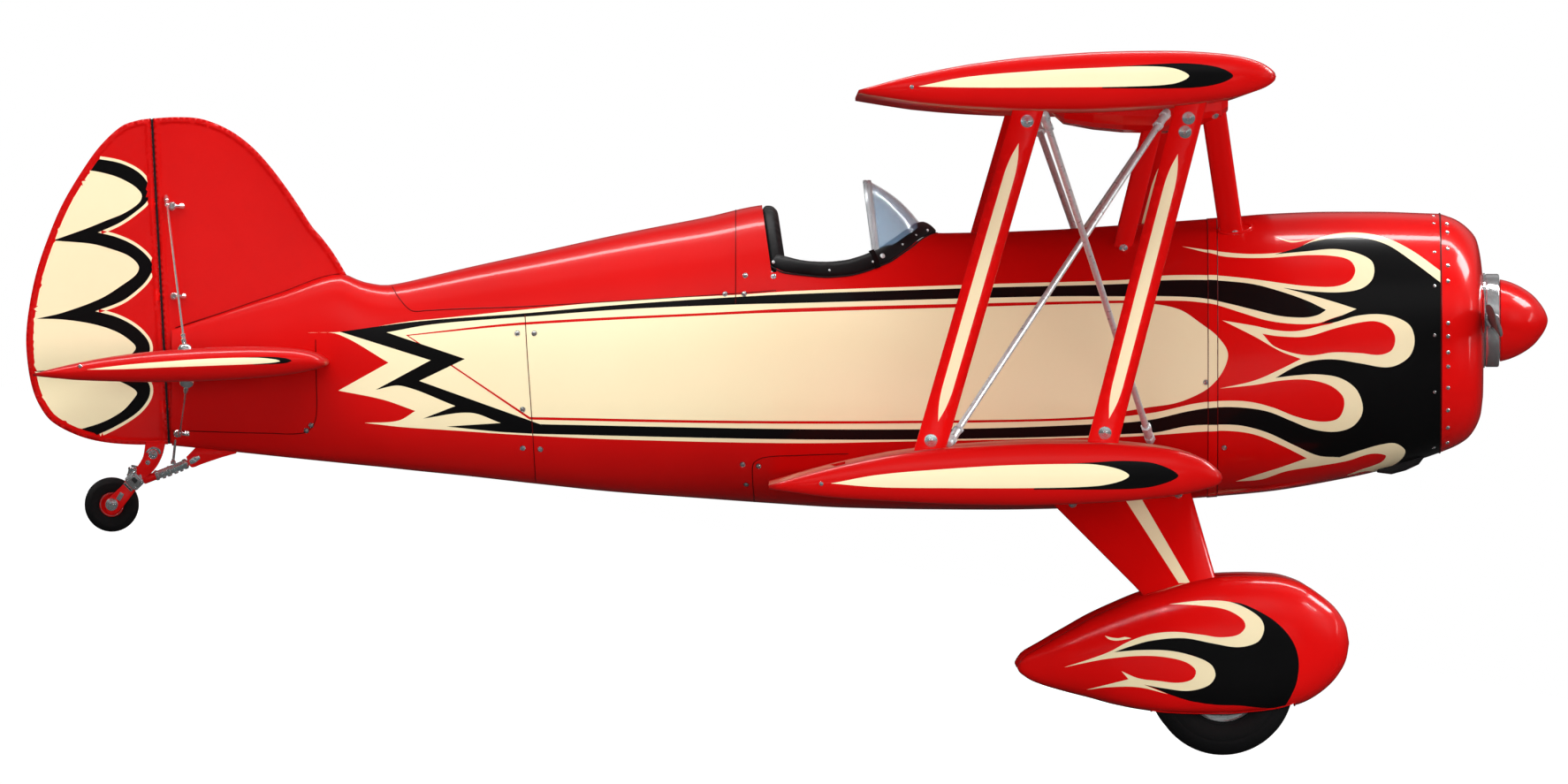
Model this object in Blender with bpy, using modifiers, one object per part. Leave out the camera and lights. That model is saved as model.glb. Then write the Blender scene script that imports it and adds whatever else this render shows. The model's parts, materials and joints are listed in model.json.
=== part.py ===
# Single-seat sport biplane, real size in metres, +Z up.
# The parts are laid out with the fuselage level, nose towards +X, starboard towards -Y,
# and a stance empty then puts the wheels on the ground.

import math

import bmesh
import bpy
from mathutils import Vector

# Driving dimensions
GAP = 0.0003
WALL = 0.035
COWL_WALL = 0.022
MAIN_R = 0.265
TAIL_R = 0.1026
MAIN_AXLE = (4.5665, 0.266)
MAIN_TRACK_HALF = 0.80
TAIL_AXLE = (0.401, 0.932)
PROP_X = 5.5865
PROP_Z = 1.6236
HUB_R = 0.175
BLADE_R = 0.965
FLOOR_Z = 1.04
SPLIT_X = 1.975
FIREWALL_BACK = 4.518
FIREWALL_FRONT = 4.551
COWL_FRONT = 5.389
COCKPIT_BACK = 2.935
COCKPIT_FRONT = 4.07
NOSE_END = 5.552
TAIL_END = 0.627
CLEAR_Y = 0.6
CLEAR_Z = 2.3
STRUT_Y = 2.45
WIRE_Y = 2.38
UPPER_HALF_SPAN = 3.43
LOWER_HALF_SPAN = 3.25
TAIL_HALF_SPAN = 1.14
HINGE_GAP = 0.008
PIN_R = 0.006
PIN_BORE_R = 0.0065

# Fuselage stations: x, top, bottom, half width
HULL = (
    (0.627, 1.591, 1.155, 0.045),
    (0.809, 1.650, 1.137, 0.073),
    (1.023, 1.723, 1.114, 0.105),
    (1.274, 1.799, 1.088, 0.143),
    (1.333, 1.769, 1.082, 0.151),
    (1.426, 1.752, 1.073, 0.165),
    (1.505, 1.766, 1.064, 0.177),
    (1.742, 1.822, 1.040, 0.209),
    (1.980, 1.874, 1.013, 0.240),
    (2.297, 1.944, 0.980, 0.279),
    (2.614, 2.006, 0.957, 0.314),
    (2.894, 2.059, 0.937, 0.345),
    (3.168, 2.009, 0.921, 0.361),
    (3.491, 1.950, 0.915, 0.372),
    (3.722, 1.954, 0.914, 0.379),
    (3.960, 1.964, 0.918, 0.386),
    (4.290, 1.987, 0.944, 0.394),
    (4.551, 2.006, 0.964, 0.400),
    (4.752, 2.023, 0.983, 0.412),
    (4.990, 2.031, 1.023, 0.420),
    (5.148, 2.031, 1.056, 0.418),
    (5.336, 2.025, 1.109, 0.405),
    (5.392, 2.023, 1.129, 0.400),
    (5.448, 2.003, 1.152, 0.385),
    (5.498, 1.967, 1.185, 0.358),
    (5.528, 1.927, 1.228, 0.325),
    (5.544, 1.858, 1.271, 0.275),
    (5.552, 1.790, 1.330, 0.200),
)
WAIST = 0.45
UPPER_POWER = 2.2
LOWER_POWER = 3.0
RING_POINTS = 28

# Aerofoil: share of chord from the nose, half thickness and mean-line rise as shares of chord
SECTION = (
    (0.000, 0.0000, 0.0000),
    (0.012, 0.0180, 0.0030),
    (0.045, 0.0355, 0.0105),
    (0.130, 0.0548, 0.0150),
    (0.270, 0.0660, 0.0167),
    (0.420, 0.0688, 0.0167),
    (0.570, 0.0640, 0.0165),
    (0.710, 0.0535, 0.0150),
    (0.850, 0.0350, 0.0080),
    (0.950, 0.0150, 0.0030),
    (1.000, 0.0040, 0.0000),
)

# Rim of the cockpit opening: x, lower edge of the coaming, its upper edge
RIM = (
    (2.8986, 1.820, 1.866),
    (2.934, 1.805, 1.861),
    (3.003, 1.793, 1.853),
    (3.082, 1.787, 1.849),
    (3.194, 1.802, 1.866),
    (3.274, 1.828, 1.893),
    (3.343, 1.869, 1.937),
    (3.416, 1.911, 1.978),
    (3.465, 1.934, 1.992),
)
RIM_FRONT = (3.481, 1.9475)


def clear_scene():
    for item in list(bpy.data.objects):
        bpy.data.objects.remove(item, do_unlink=True)


def paint(name, colour, roughness, metallic=0.0, transmission=0.0):
    made = bpy.data.materials.new(name)
    made.use_nodes = True
    shader = made.node_tree.nodes["Principled BSDF"]
    shader.inputs["Base Color"].default_value = (*colour, 1.0)
    shader.inputs["Roughness"].default_value = roughness
    shader.inputs["Metallic"].default_value = metallic
    shader.inputs["Transmission Weight"].default_value = transmission
    made.diffuse_color = (*colour, 1.0)
    return made


clear_scene()
PARTS = bpy.data.collections.new("biplane")
HELPERS = bpy.data.collections.new("cutters")
bpy.context.scene.collection.children.link(PARTS)
bpy.context.scene.collection.children.link(HELPERS)
STANCE = bpy.data.objects.new("stance", None)
PARTS.objects.link(STANCE)

RED = paint("red enamel", (0.62, 0.006, 0.006), 0.25)
CREAM = paint("cream enamel", (0.86, 0.72, 0.46), 0.3)
POLISHED = paint("polished metal", (0.75, 0.76, 0.78), 0.12, 1.0)
STEEL = paint("brushed steel", (0.55, 0.56, 0.58), 0.35, 1.0)
IRON = paint("engine casting", (0.16, 0.16, 0.17), 0.6, 0.8)
LEATHER = paint("black leather", (0.012, 0.012, 0.013), 0.45)
RUBBER = paint("tyre rubber", (0.02, 0.02, 0.022), 0.8)
DARK = paint("dark interior", (0.03, 0.03, 0.032), 0.6)
GLASS = paint("windshield", (0.62, 0.68, 0.74), 0.05, 0.0, 0.85)


def box_mesh(x0, x1, y0, y1, z0, z1):
    mesh = bmesh.new()
    bmesh.ops.create_cube(mesh, size=1.0)
    middle = Vector(((x0 + x1) / 2, (y0 + y1) / 2, (z0 + z1) / 2))
    for vert in mesh.verts:
        size = Vector((vert.co.x * (x1 - x0), vert.co.y * (y1 - y0), vert.co.z * (z1 - z0)))
        vert.co = size + middle
    return mesh


def loft(rings, split=False):
    """A closed skin over rings of equal length; split cuts each side face in two the same way."""
    mesh = bmesh.new()
    rows = [[mesh.verts.new(point) for point in ring] for ring in rings]
    for near, far in zip(rows, rows[1:]):
        for i in range(len(near)):
            j = (i + 1) % len(near)
            if split:
                mesh.faces.new((near[i], near[j], far[j]))
                mesh.faces.new((near[i], far[j], far[i]))
            else:
                mesh.faces.new((near[i], near[j], far[j], far[i]))
    mesh.faces.new(list(reversed(rows[0])))
    mesh.faces.new(rows[-1])
    bmesh.ops.recalc_face_normals(mesh, faces=mesh.faces[:])
    return mesh


def place(name, mesh, colour, origin=(0, 0, 0), smooth=True, helper=False, sharp=35):
    """A named object whose origin lies at the given point of the level frame."""
    start = Vector(origin)
    for vert in mesh.verts:
        vert.co -= start
    data = bpy.data.meshes.new(name)
    mesh.to_mesh(data)
    mesh.free()
    item = bpy.data.objects.new(name, data)
    item.parent = STANCE
    item.location = start
    if helper:
        HELPERS.objects.link(item)
        item.hide_render = True
        item.display_type = "WIRE"
        return item
    PARTS.objects.link(item)
    data.materials.append(colour)
    if smooth:
        data.shade_smooth()
        data.set_sharp_from_angle(angle=math.radians(sharp))
    return item


def cutter(name, mesh, origin=(0, 0, 0)):
    return place(name, mesh, None, origin, helper=True)


def cut(item, other, operation="DIFFERENCE"):
    step = item.modifiers.new(other.name, "BOOLEAN")
    step.operation = operation
    step.solver = "EXACT"
    step.object = other


def join(item, other):
    cut(item, other, "UNION")


def turned(name, profile, colour, origin, turn, steps=32, helper=False):
    """A turned shape: profile of (radius, height) points, run round the local Z axis."""
    mesh = bmesh.new()
    verts = [mesh.verts.new((r, 0, h)) for r, h in profile]
    closed = profile[0][0] > 0 and profile[-1][0] > 0
    pairs = list(zip(verts, verts[1:]))
    if closed:
        pairs.append((verts[-1], verts[0]))
    for a, b in pairs:
        mesh.edges.new((a, b))
    item = place(name, mesh, colour, (0, 0, 0), helper=helper)
    item.location = origin
    item.rotation_euler = turn
    screw = item.modifiers.new("turn", "SCREW")
    screw.steps = steps
    screw.render_steps = steps
    screw.use_merge_vertices = True
    screw.merge_threshold = 0.0001
    screw.use_smooth_shade = True
    return item


ALONG_Y = (math.pi / 2, 0, 0)
ALONG_X = (0, math.pi / 2, 0)


def rod_mesh(start, end, radius, sides=16):
    a = Vector(start)
    b = Vector(end)
    mesh = bmesh.new()
    bmesh.ops.create_cone(mesh, cap_ends=True, segments=sides, radius1=radius, radius2=radius,
                          depth=(b - a).length)
    spin = Vector((0, 0, 1)).rotation_difference(b - a).to_matrix()
    for vert in mesh.verts:
        vert.co = spin @ vert.co + (a + b) / 2
    return mesh


def rod_cutter(name, start, end, radius, sides=24):
    return cutter(name, rod_mesh(start, end, radius, sides))


def power(value, exponent):
    return math.copysign(abs(value) ** exponent, value)


def hull_at(x):
    if x <= HULL[0][0]:
        return HULL[0][1:]
    for near, far in zip(HULL, HULL[1:]):
        if x <= far[0]:
            share = (x - near[0]) / (far[0] - near[0])
            return tuple(near[i] + share * (far[i] - near[i]) for i in (1, 2, 3))
    return HULL[-1][1:]


def hull_ring(x, grow=0.0, low=None, high=None):
    top, bottom, half = hull_at(x)
    waist = bottom + WAIST * (top - bottom)
    ring = []
    for i in range(RING_POINTS):
        turn = 2 * math.pi * i / RING_POINTS
        rise = math.sin(turn)
        exponent = 2 / (UPPER_POWER if rise > 0 else LOWER_POWER)
        height = (top - waist if rise > 0 else waist - bottom) + grow
        y = (half + grow) * power(math.cos(turn), exponent)
        z = waist + height * power(rise, exponent)
        if low is not None:
            z = max(z, low)
        if high is not None:
            z = min(z, high)
        ring.append((x, y, z))
    return ring


def hull_mesh(x0, x1, grow=0.0, low=None):
    stations = [x0] + [row[0] for row in HULL if x0 + 0.02 < row[0] < x1 - 0.02] + [x1]
    return loft([hull_ring(x, grow, low) for x in stations], True)


def hull_side(x, z):
    """Half width of the fuselage at one station and height."""
    top, bottom, half = hull_at(x)
    waist = bottom + WAIST * (top - bottom)
    if z >= waist:
        share = min(1.0, (z - waist) / (top - waist))
        return half * (1 - share ** UPPER_POWER) ** (1 / UPPER_POWER)
    share = min(1.0, (waist - z) / (waist - bottom))
    return half * (1 - share ** LOWER_POWER) ** (1 / LOWER_POWER)


def prism_mesh(outline, y0, y1):
    """A straight prism along Y over an outline of (x, z) points."""
    return loft([[(x, y, z) for x, z in outline] for y in (y0, y1)])


def inset(points, depth):
    """The outline moved inwards by depth, point by point."""
    count = len(points)
    area = sum(points[i - 1].x * points[i].y - points[i].x * points[i - 1].y for i in range(count))
    side = 1 if area > 0 else -1
    made = []
    for i in range(count):
        before = (points[i] - points[i - 1]).normalized()
        after = (points[(i + 1) % count] - points[i]).normalized()
        normal = Vector((-before.y - after.y, before.x + after.x)) * side
        normal.normalize()
        spread = max(0.5, normal.dot(Vector((-after.y, after.x)) * side))
        made.append(points[i] + normal * depth / spread)
    return made


def slab_mesh(outline, half, edge, middle=0.0):
    """A plate in the XZ plane, 2 * half thick, with rounded edges."""
    points = [Vector(point) for point in outline]
    rings = []
    for y, depth in ((-half, edge), (-half + 0.3 * edge, 0.3 * edge), (-half + edge, 0.0),
                     (half - edge, 0.0), (half - 0.3 * edge, 0.3 * edge), (half, edge)):
        ring = inset(points, depth) if depth else points
        if rings and abs(y - (rings[-1][0][1] - middle)) < 1e-6:
            continue
        rings.append([(point.x, y + middle, point.y) for point in ring])
    return loft(rings)


def section_ring(nose, tail, y, thick=1.0, camber=1.0, grow=0.0):
    """Aerofoil section at one spanwise place; nose and tail are (x, z)."""
    front = Vector(nose)
    back = Vector(tail)
    chord = (front - back).length
    along = (back - front) / chord
    up = Vector((-along.y, along.x))
    if up.y < 0:
        up = -up
    top = []
    under = []
    for share, half, rise in SECTION:
        middle = front + along * (chord * share) + up * (chord * rise * camber)
        if grow:
            middle -= along * grow * (1 - 2 * share)
        reach = chord * half * thick + grow
        top.append(middle + up * reach)
        under.append(middle - up * reach)
    if grow:
        outline = top[::-1] + under
    else:
        outline = top[::-1] + under[1:]
    return [(point.x, y, point.y) for point in outline]


def wing_mesh(nose, tail, y0, y1, thick=1.0, camber=1.0, tips=(False, True), grow=0.0):
    """A wing between two spanwise places, with rounded tips where asked."""
    middle = (Vector(nose) + Vector(tail)) / 2
    stations = []
    for end, rounded, sign in ((y0, tips[0], 1), (y1, tips[1], -1)):
        rows = [(end, 1.0, 1.0)]
        if rounded:
            rows = [(end, 0.76, 0.42), (end + sign * 0.012, 0.86, 0.68),
                    (end + sign * 0.045, 0.965, 0.91), (end + sign * 0.10, 1.0, 1.0)]
        stations.extend(rows if sign > 0 else reversed(rows))
    rings = []
    for y, wide, high in stations:
        front = middle + (Vector(nose) - middle) * wide
        back = middle + (Vector(tail) - middle) * wide
        rings.append(section_ring(front, back, y, thick * high / wide, camber, grow))
    return loft(rings)


def strut_mesh(start, end, rows):
    """A streamlined strut; rows of (share of length, chord, thickness)."""
    a = Vector(start)
    b = Vector(end)
    axis = (b - a).normalized()
    chordwise = Vector((1, 0, 0))
    chordwise = (chordwise - axis * chordwise.dot(axis)).normalized()
    across = axis.cross(chordwise)
    rings = []
    for share, chord, thick in rows:
        centre = a + (b - a) * share
        ring = []
        for i in range(12):
            turn = 2 * math.pi * i / 12
            along = math.cos(turn) * chord / 2
            wide = math.sin(turn) * thick / 2 * (1 + 0.3 * math.cos(turn))
            ring.append(centre + chordwise * along + across * wide)
        rings.append(ring)
    return loft(rings)


# Fuselage
HULL_CUT = cutter("hull_cutter", hull_mesh(TAIL_END - GAP, NOSE_END, 2 * GAP))
SPLIT = ((1.4, 1.6536), (2.8984, 1.7358))


def deck_line(x, rise=0.0):
    share = (x - SPLIT[0][0]) / (SPLIT[1][0] - SPLIT[0][0])
    return SPLIT[0][1] + share * (SPLIT[1][1] - SPLIT[0][1]) + rise


DECK_BACK = 1.4547
DECK_FRONT = 2.898
PAD_BACK = 2.845
PAD_LOW = 1.80
DECK_SPACE = cutter("deck_space", prism_mesh(
    ((DECK_BACK, deck_line(DECK_BACK)), (DECK_FRONT, deck_line(DECK_FRONT)), (DECK_FRONT, CLEAR_Z),
     (DECK_BACK, CLEAR_Z)), -CLEAR_Y, CLEAR_Y))
DECK_KEEP = cutter("deck_keep", prism_mesh(
    ((DECK_BACK + GAP, deck_line(DECK_BACK, GAP)), (DECK_FRONT - GAP, deck_line(DECK_FRONT, GAP)),
     (DECK_FRONT - GAP, PAD_LOW), (PAD_BACK, PAD_LOW), (PAD_BACK, CLEAR_Z), (DECK_BACK + GAP, CLEAR_Z)),
    -CLEAR_Y, CLEAR_Y))
PAD_KEEP = cutter("pad_keep", box_mesh(PAD_BACK + GAP, DECK_FRONT, -CLEAR_Y, CLEAR_Y, PAD_LOW + GAP, CLEAR_Z))


def opening_mesh(rise=0.0):
    """The open top of the cockpit, seen from the side and run right across."""
    back = DECK_FRONT - 0.015
    outline = [(back, CLEAR_Z), (back, RIM[0][1] + rise)]
    outline += [(x, low + rise) for x, low, _ in RIM[1:]]
    outline += [(RIM_FRONT[0], RIM_FRONT[1] + rise), (RIM_FRONT[0] + 0.005, CLEAR_Z)]
    return prism_mesh(outline, -CLEAR_Y, CLEAR_Y)


OPENING = cutter("cockpit_opening", opening_mesh())
FUSELAGE_CUT = cutter("fuselage_cutter", hull_mesh(SPLIT_X, FIREWALL_BACK, GAP))
cut(FUSELAGE_CUT, cutter("opening_above_rim", opening_mesh(GAP)))

rear = place("rear_fuselage", hull_mesh(TAIL_END, SPLIT_X), RED)
cut(rear, DECK_SPACE)
centre = place("centre_fuselage", hull_mesh(SPLIT_X + GAP, FIREWALL_BACK), RED)
cut(centre, DECK_SPACE)
cut(centre, OPENING)
CAVITY = cutter("cockpit_cavity", hull_mesh(COCKPIT_BACK, COCKPIT_FRONT, -WALL, FLOOR_Z))
cut(centre, CAVITY)
deck = place("turtle_deck", hull_mesh(1.43, 2.91), RED)
cut(deck, DECK_KEEP, "INTERSECT")
pad = place("headrest_pad", hull_mesh(2.80, 2.95, 0.006), LEATHER)
cut(pad, PAD_KEEP, "INTERSECT")

firewall = place("firewall", hull_mesh(FIREWALL_BACK + GAP, FIREWALL_FRONT), RED)
cowl = place("engine_cowling", hull_mesh(FIREWALL_FRONT + GAP, COWL_FRONT), RED)
COWL_SPACE = cutter("cowl_space", hull_mesh(FIREWALL_FRONT - 0.05, COWL_FRONT + 0.05, -COWL_WALL))
cut(cowl, COWL_SPACE)
bowl = place("nose_bowl", hull_mesh(COWL_FRONT + GAP, NOSE_END), RED)
BOWL_SPACE = cutter("bowl_space", loft([hull_ring(x, grow) for x, grow in (
    (5.36, -COWL_WALL), (5.448, -0.026), (5.498, -0.034), (5.522, -0.06))]))
cut(bowl, BOWL_SPACE)
cut(bowl, rod_cutter("prop_hole", (5.4, 0, PROP_Z), (5.7, 0, PROP_Z), 0.06))


# Cooling inlets: middle across and up, half width and half height
INLET_Y = 0.240
INLET_Z = 1.660
INLET_WIDE = 0.075
INLET_TALL = 0.085


def inlet_mesh(side):
    rings = []
    for x in (5.40, 5.65):
        ring = []
        for i in range(24):
            turn = 2 * math.pi * i / 24
            ring.append((x, side * INLET_Y + INLET_WIDE * math.cos(turn),
                         INLET_Z + INLET_TALL * math.sin(turn)))
        rings.append(ring)
    return loft(rings)


for label, side in (("right", -1), ("left", 1)):
    cut(bowl, cutter("inlet_" + label, inlet_mesh(side)))

engine = place("engine", box_mesh(FIREWALL_FRONT + GAP, 5.30, -0.27, 0.27, 1.34, 1.78), IRON,
               smooth=False)

# Chin outlet under the cowling: side outline of the dark scoop
CHIN = ((5.150, 1.075), (5.158, 1.052), (5.207, 1.046), (5.260, 1.060), (5.310, 1.083),
        (5.338, 1.120), (5.20, 1.130))
chin = place("chin_outlet", slab_mesh(CHIN, 0.16, 0.010), DARK)
cut(chin, HULL_CUT)

# Propeller, parked level
DISC = ((0, 5.600), (0.150, 5.600), (HUB_R - 0.006, 5.6145), (HUB_R, 5.608), (HUB_R, 5.566),
        (HUB_R - 0.006, 5.5605), (0.034, 5.5605), (0.034, 5.30 + GAP), (0, 5.30 + GAP))
prop = turned("propeller", [(r, x - PROP_X) for r, x in DISC], POLISHED,
              (PROP_X, 0, PROP_Z), ALONG_X, 40)
# Blade stations: radius, chord, thickness, pitch in degrees
BLADE = (
    (0.150, 0.052, 0.044, 40),
    (0.240, 0.072, 0.036, 34),
    (0.420, 0.132, 0.026, 27),
    (0.650, 0.128, 0.018, 20),
    (0.860, 0.104, 0.012, 16),
    (0.945, 0.070, 0.008, 14),
    (BLADE_R, 0.030, 0.005, 13),
)


def blade_mesh(side):
    rings = []
    for radius, chord, thick, pitch in BLADE:
        lean = math.radians(pitch)
        ring = []
        for i in range(12):
            turn = 2 * math.pi * i / 12
            flat = math.cos(turn) * chord / 2
            deep = math.sin(turn) * thick / 2
            x = PROP_X + deep * math.cos(lean) + flat * math.sin(lean)
            z = PROP_Z + side * (flat * math.cos(lean) - deep * math.sin(lean))
            ring.append((x, side * radius, z))
        rings.append(ring)
    return loft(rings)


for label, side in (("right", -1), ("left", 1)):
    join(prop, cutter("blade_" + label, blade_mesh(side), (PROP_X, 0, PROP_Z)))

BACK_DISC = ((0.0343, 0.0035), (0.178, 0.0035), (0.178, -0.0035), (0.0343, -0.0035))
turned("propeller_backplate", BACK_DISC, POLISHED, (5.5565, 0, PROP_Z), ALONG_X, 40)
SPINNER = ((0, 0.1747), (0.009, 0.1735), (0.030, 0.1635), (0.050, 0.1545), (0.095, 0.109),
           (0.1295, 0.0655), (0.152, 0.0), (0.0, 0.0))
spinner = turned("spinner", SPINNER, RED, (5.620, 0, PROP_Z), ALONG_X, 40)
SPINNER_FOOT = cutter("spinner_foot", rod_mesh((5.600 + GAP, 0, PROP_Z), (5.64, 0, PROP_Z), 0.140, 40))
join(spinner, SPINNER_FOOT)

# Cockpit coaming
def coaming_mesh(grow=0.0):
    path = []
    for x, low, high in RIM:
        y = hull_side(x, low)
        path.append((Vector((x, -y)), low, high, 0.020))
    path.append((Vector((RIM_FRONT[0] - 0.001, 0)), RIM_FRONT[1], 1.994, 0.040))
    path = path + [(Vector((p.x, -p.y)), low, high, lean) for p, low, high, lean in path[-2::-1]]
    rings = []
    for i, (point, low, high, lean) in enumerate(path):
        before = path[max(i - 1, 0)][0]
        after = path[min(i + 1, len(path) - 1)][0]
        way = (after - before).normalized()
        out = Vector((way.y, -way.x))
        ring = []
        tall = high - low
        for u, v in ((0.004 + grow, 0.001 - grow), (0.009 - 0.4 * lean + grow, 0.4 * tall),
                     (0.004 - 0.8 * lean + grow, 0.85 * tall), (-lean - 0.010, tall + grow),
                     (-lean - 0.026 - grow, 0.88 * tall), (-0.034 - grow, 0.3 * tall),
                     (-0.030 - grow, 0.001 - grow)):
            spot = point + out * u
            ring.append((spot.x, spot.y, low + v))
        rings.append(ring)
    return loft(rings)


coaming = place("cockpit_coaming", coaming_mesh(), LEATHER)
cut(coaming, FUSELAGE_CUT)
COAMING_CUT = cutter("coaming_cutter", coaming_mesh(GAP))


# Windshield: a wrap-round pane between the aft frame and the coaming
FRAME_FOOT = (3.286, 1.880)
FRAME_TOP = (3.243, 2.144)
FRAME_HALF = 0.232


def frame_point(turn):
    share = math.sin(turn)
    x = FRAME_FOOT[0] + (FRAME_TOP[0] - FRAME_FOOT[0]) * share
    z = FRAME_FOOT[1] + (FRAME_TOP[1] - FRAME_FOOT[1]) * share
    return Vector((x, -FRAME_HALF * math.cos(turn), z))


def pane_rows():
    rings = []
    count = 14
    for i in range(count + 1):
        turn = math.pi * i / count
        back = frame_point(turn)
        across = -0.232 * math.cos(turn)
        share = math.sin(turn) ** 0.8
        base = Vector((3.300 + 0.136 * share, across, 1.880 + 0.098 * share))
        back += Vector((0.0105, 0, 0))
        row = []
        for k in range(5):
            t = k / 4
            bulge = 0.026 * math.sin(math.pi * t) * math.sin(turn)
            spot = back.lerp(base, t) + Vector((bulge * 0.7, bulge * 0.6 * -math.cos(turn), bulge))
            row.append(spot)
        rings.append(row)
    return rings


def pane_solid():
    rows = pane_rows()
    middle = Vector((3.28, 0, 1.86))
    rings = []
    for row in rows:
        inner = []
        for spot in row:
            inner.append(spot + (middle - spot).normalized() * 0.004)
        rings.append(row + inner[::-1])
    return loft(rings)


frame_path = [frame_point(math.pi * i / 16) for i in range(17)]
frame_rings = []
for i, spot in enumerate(frame_path):
    way = (frame_path[min(i + 1, 16)] - frame_path[max(i - 1, 0)]).normalized()
    ahead = Vector((1, 0, 0))
    ahead = (ahead - way * ahead.dot(way)).normalized()
    off = way.cross(ahead)
    frame_rings.append([spot + ahead * (0.010 * math.cos(2 * math.pi * k / 8 + 0.39))
                        + off * (0.009 * math.sin(2 * math.pi * k / 8 + 0.39)) for k in range(8)])
arch = place("windshield_frame", loft(frame_rings), POLISHED)
cut(arch, COAMING_CUT)
glass = place("windshield", pane_solid(), GLASS)
cut(glass, COAMING_CUT)

# Cockpit furniture
SEAT = ((2.96, FLOOR_Z + GAP), (3.40, FLOOR_Z + GAP), (3.42, 1.235), (3.40, 1.26), (3.06, 1.235),
        (3.01, 1.70), (2.955, 1.715), (2.955, 1.20))
place("seat", prism_mesh(SEAT, -0.21, 0.21), LEATHER, smooth=False)
panel = place("instrument_panel", loft([hull_ring(x, -WALL - 2 * GAP, 1.375, 1.905) for x in (3.455, 3.470)], True),
              DARK)
cut(panel, COAMING_CUT)
cut(panel, cutter("knee_room", box_mesh(3.44, 3.49, -0.5, 0.5, 1.3, 1.53)))
stick = place("control_stick", loft([[(x + r * math.cos(t * math.pi / 4), r * math.sin(t * math.pi / 4), z)
                                      for t in range(8)] for x, z, r in (
    (3.535, FLOOR_Z + GAP, 0.030), (3.535, 1.07, 0.028), (3.532, 1.09, 0.012), (3.515, 1.35, 0.011),
    (3.513, 1.36, 0.018), (3.500, 1.46, 0.019), (3.497, 1.475, 0.010))]), STEEL)

# Fin and rudder. The hinge axis leans with the sternpost.
POST_LOW = Vector((0.598, 1.155))
POST_HIGH = Vector((0.533, 2.383))
FIN_HALF = 0.015


def post_at(z, ahead=0.0):
    share = (z - POST_LOW.y) / (POST_HIGH.y - POST_LOW.y)
    return (POST_LOW.x + share * (POST_HIGH.x - POST_LOW.x) + ahead, z)


def on_post(z):
    """A point of the rudder's hinge line."""
    return (post_at(z)[0], 0, z)


FIN_BACK = 0.021
LUG_HALF = 0.022
FIN_OUTLINE = [post_at(1.160, FIN_BACK), post_at(1.60, FIN_BACK), post_at(2.0, FIN_BACK),
               post_at(2.383, FIN_BACK), (0.640, 2.388), (0.728, 2.383), (0.800, 2.360),
               (0.866, 2.325), (0.935, 2.270), (1.000, 2.198), (1.060, 2.118), (1.109, 2.046),
               (1.155, 1.975), (1.190, 1.935), (1.235, 1.875), (1.280, 1.790),
               (1.0, 1.60), (0.66, 1.40), (0.65, 1.160)]
fin = place("vertical_fin", slab_mesh(FIN_OUTLINE, FIN_HALF, 0.009), RED)
cut(fin, HULL_CUT)
RUDDER_OUTLINE = [post_at(1.158, 0.015), post_at(1.30, 0.015), post_at(1.60, 0.015),
                  post_at(1.90, 0.015), post_at(2.20, 0.015), post_at(2.383, 0.015),
                  (0.500, 2.376), (0.438, 2.354), (0.360, 2.283), (0.296, 2.196), (0.218, 2.066),
                  (0.165, 1.944), (0.120, 1.813), (0.092, 1.683), (0.079, 1.561), (0.086, 1.452),
                  (0.104, 1.364), (0.132, 1.299), (0.175, 1.244), (0.264, 1.195), (0.360, 1.168),
                  (0.482, 1.157)]
rudder_origin = (post_at(1.6)[0], 0, 1.6)
rudder = place("rudder", slab_mesh(RUDDER_OUTLINE, 0.015, 0.0149), RED, rudder_origin)
# Three hinge lugs on the fin, each with its pin, and the slots for them in the rudder
for index, height in enumerate((1.30, 1.72, 2.06)):
    lug = rod_cutter("rudder_lug_%d" % index, on_post(height - LUG_HALF), on_post(height + LUG_HALF), 0.011)
    web = cutter("rudder_web_%d" % index, box_mesh(
        post_at(height)[0], post_at(height)[0] + 0.034, -0.008, 0.008, height - 0.0215, height + 0.0215))
    pin = rod_cutter("rudder_pin_%d" % index, on_post(height - 0.06), on_post(height + 0.06), 0.004, 12)
    join(fin, web)
    join(fin, lug)
    join(fin, pin)
    slot = cutter("rudder_slot_%d" % index, box_mesh(
        post_at(height)[0] - 0.0165, post_at(height)[0] + 0.03, -0.03, 0.03,
        height - 0.0275, height + 0.0275))
    bore = rod_cutter("rudder_bore_%d" % index, on_post(height - 0.066), on_post(height + 0.066), 0.0046, 12)
    cut(rudder, slot)
    cut(rudder, bore)

# Tailplane and elevators
TAIL_NOSE = (1.221, 1.4685)
TAIL_TAIL = (0.1254, 1.4223)
TAIL_THICK = 0.81
TAIL_CAMBER = 0.6
ELEVATOR_HINGE = (0.700, 1.4560)
ELEVATOR_R = 0.0575
ELEVATOR_OUT = 1.00
TUBE_R = 0.020


def hinge_space(name, hinge, radius, y0, y1):
    """The room behind a hinge line: a cylinder and all aft of it."""
    rings = []
    for y, back in ((y0, hinge[0] - 1.0), (y1, hinge[0] - 1.0)):
        ring = [(back, y, hinge[1] - 0.3), (back, y, hinge[1] + 0.3)]
        for i in range(13):
            turn = math.radians(90 - 180 * i / 12)
            ring.append((hinge[0] + radius * math.cos(turn), y, hinge[1] + radius * math.sin(turn)))
        ring[2:2] = [(hinge[0], y, hinge[1] + 0.3)]
        ring.append((hinge[0], y, hinge[1] - 0.3))
        rings.append(ring)
    return cutter(name, loft(rings))


def on_hinge(y):
    """A point of the elevators' hinge line."""
    return (ELEVATOR_HINGE[0], y, ELEVATOR_HINGE[1])


def nose_round(name, hinge, radius, y0, y1, origin):
    return cutter(name, rod_mesh((hinge[0], y0, hinge[1]), (hinge[0], y1, hinge[1]), radius, 32), origin)


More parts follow.
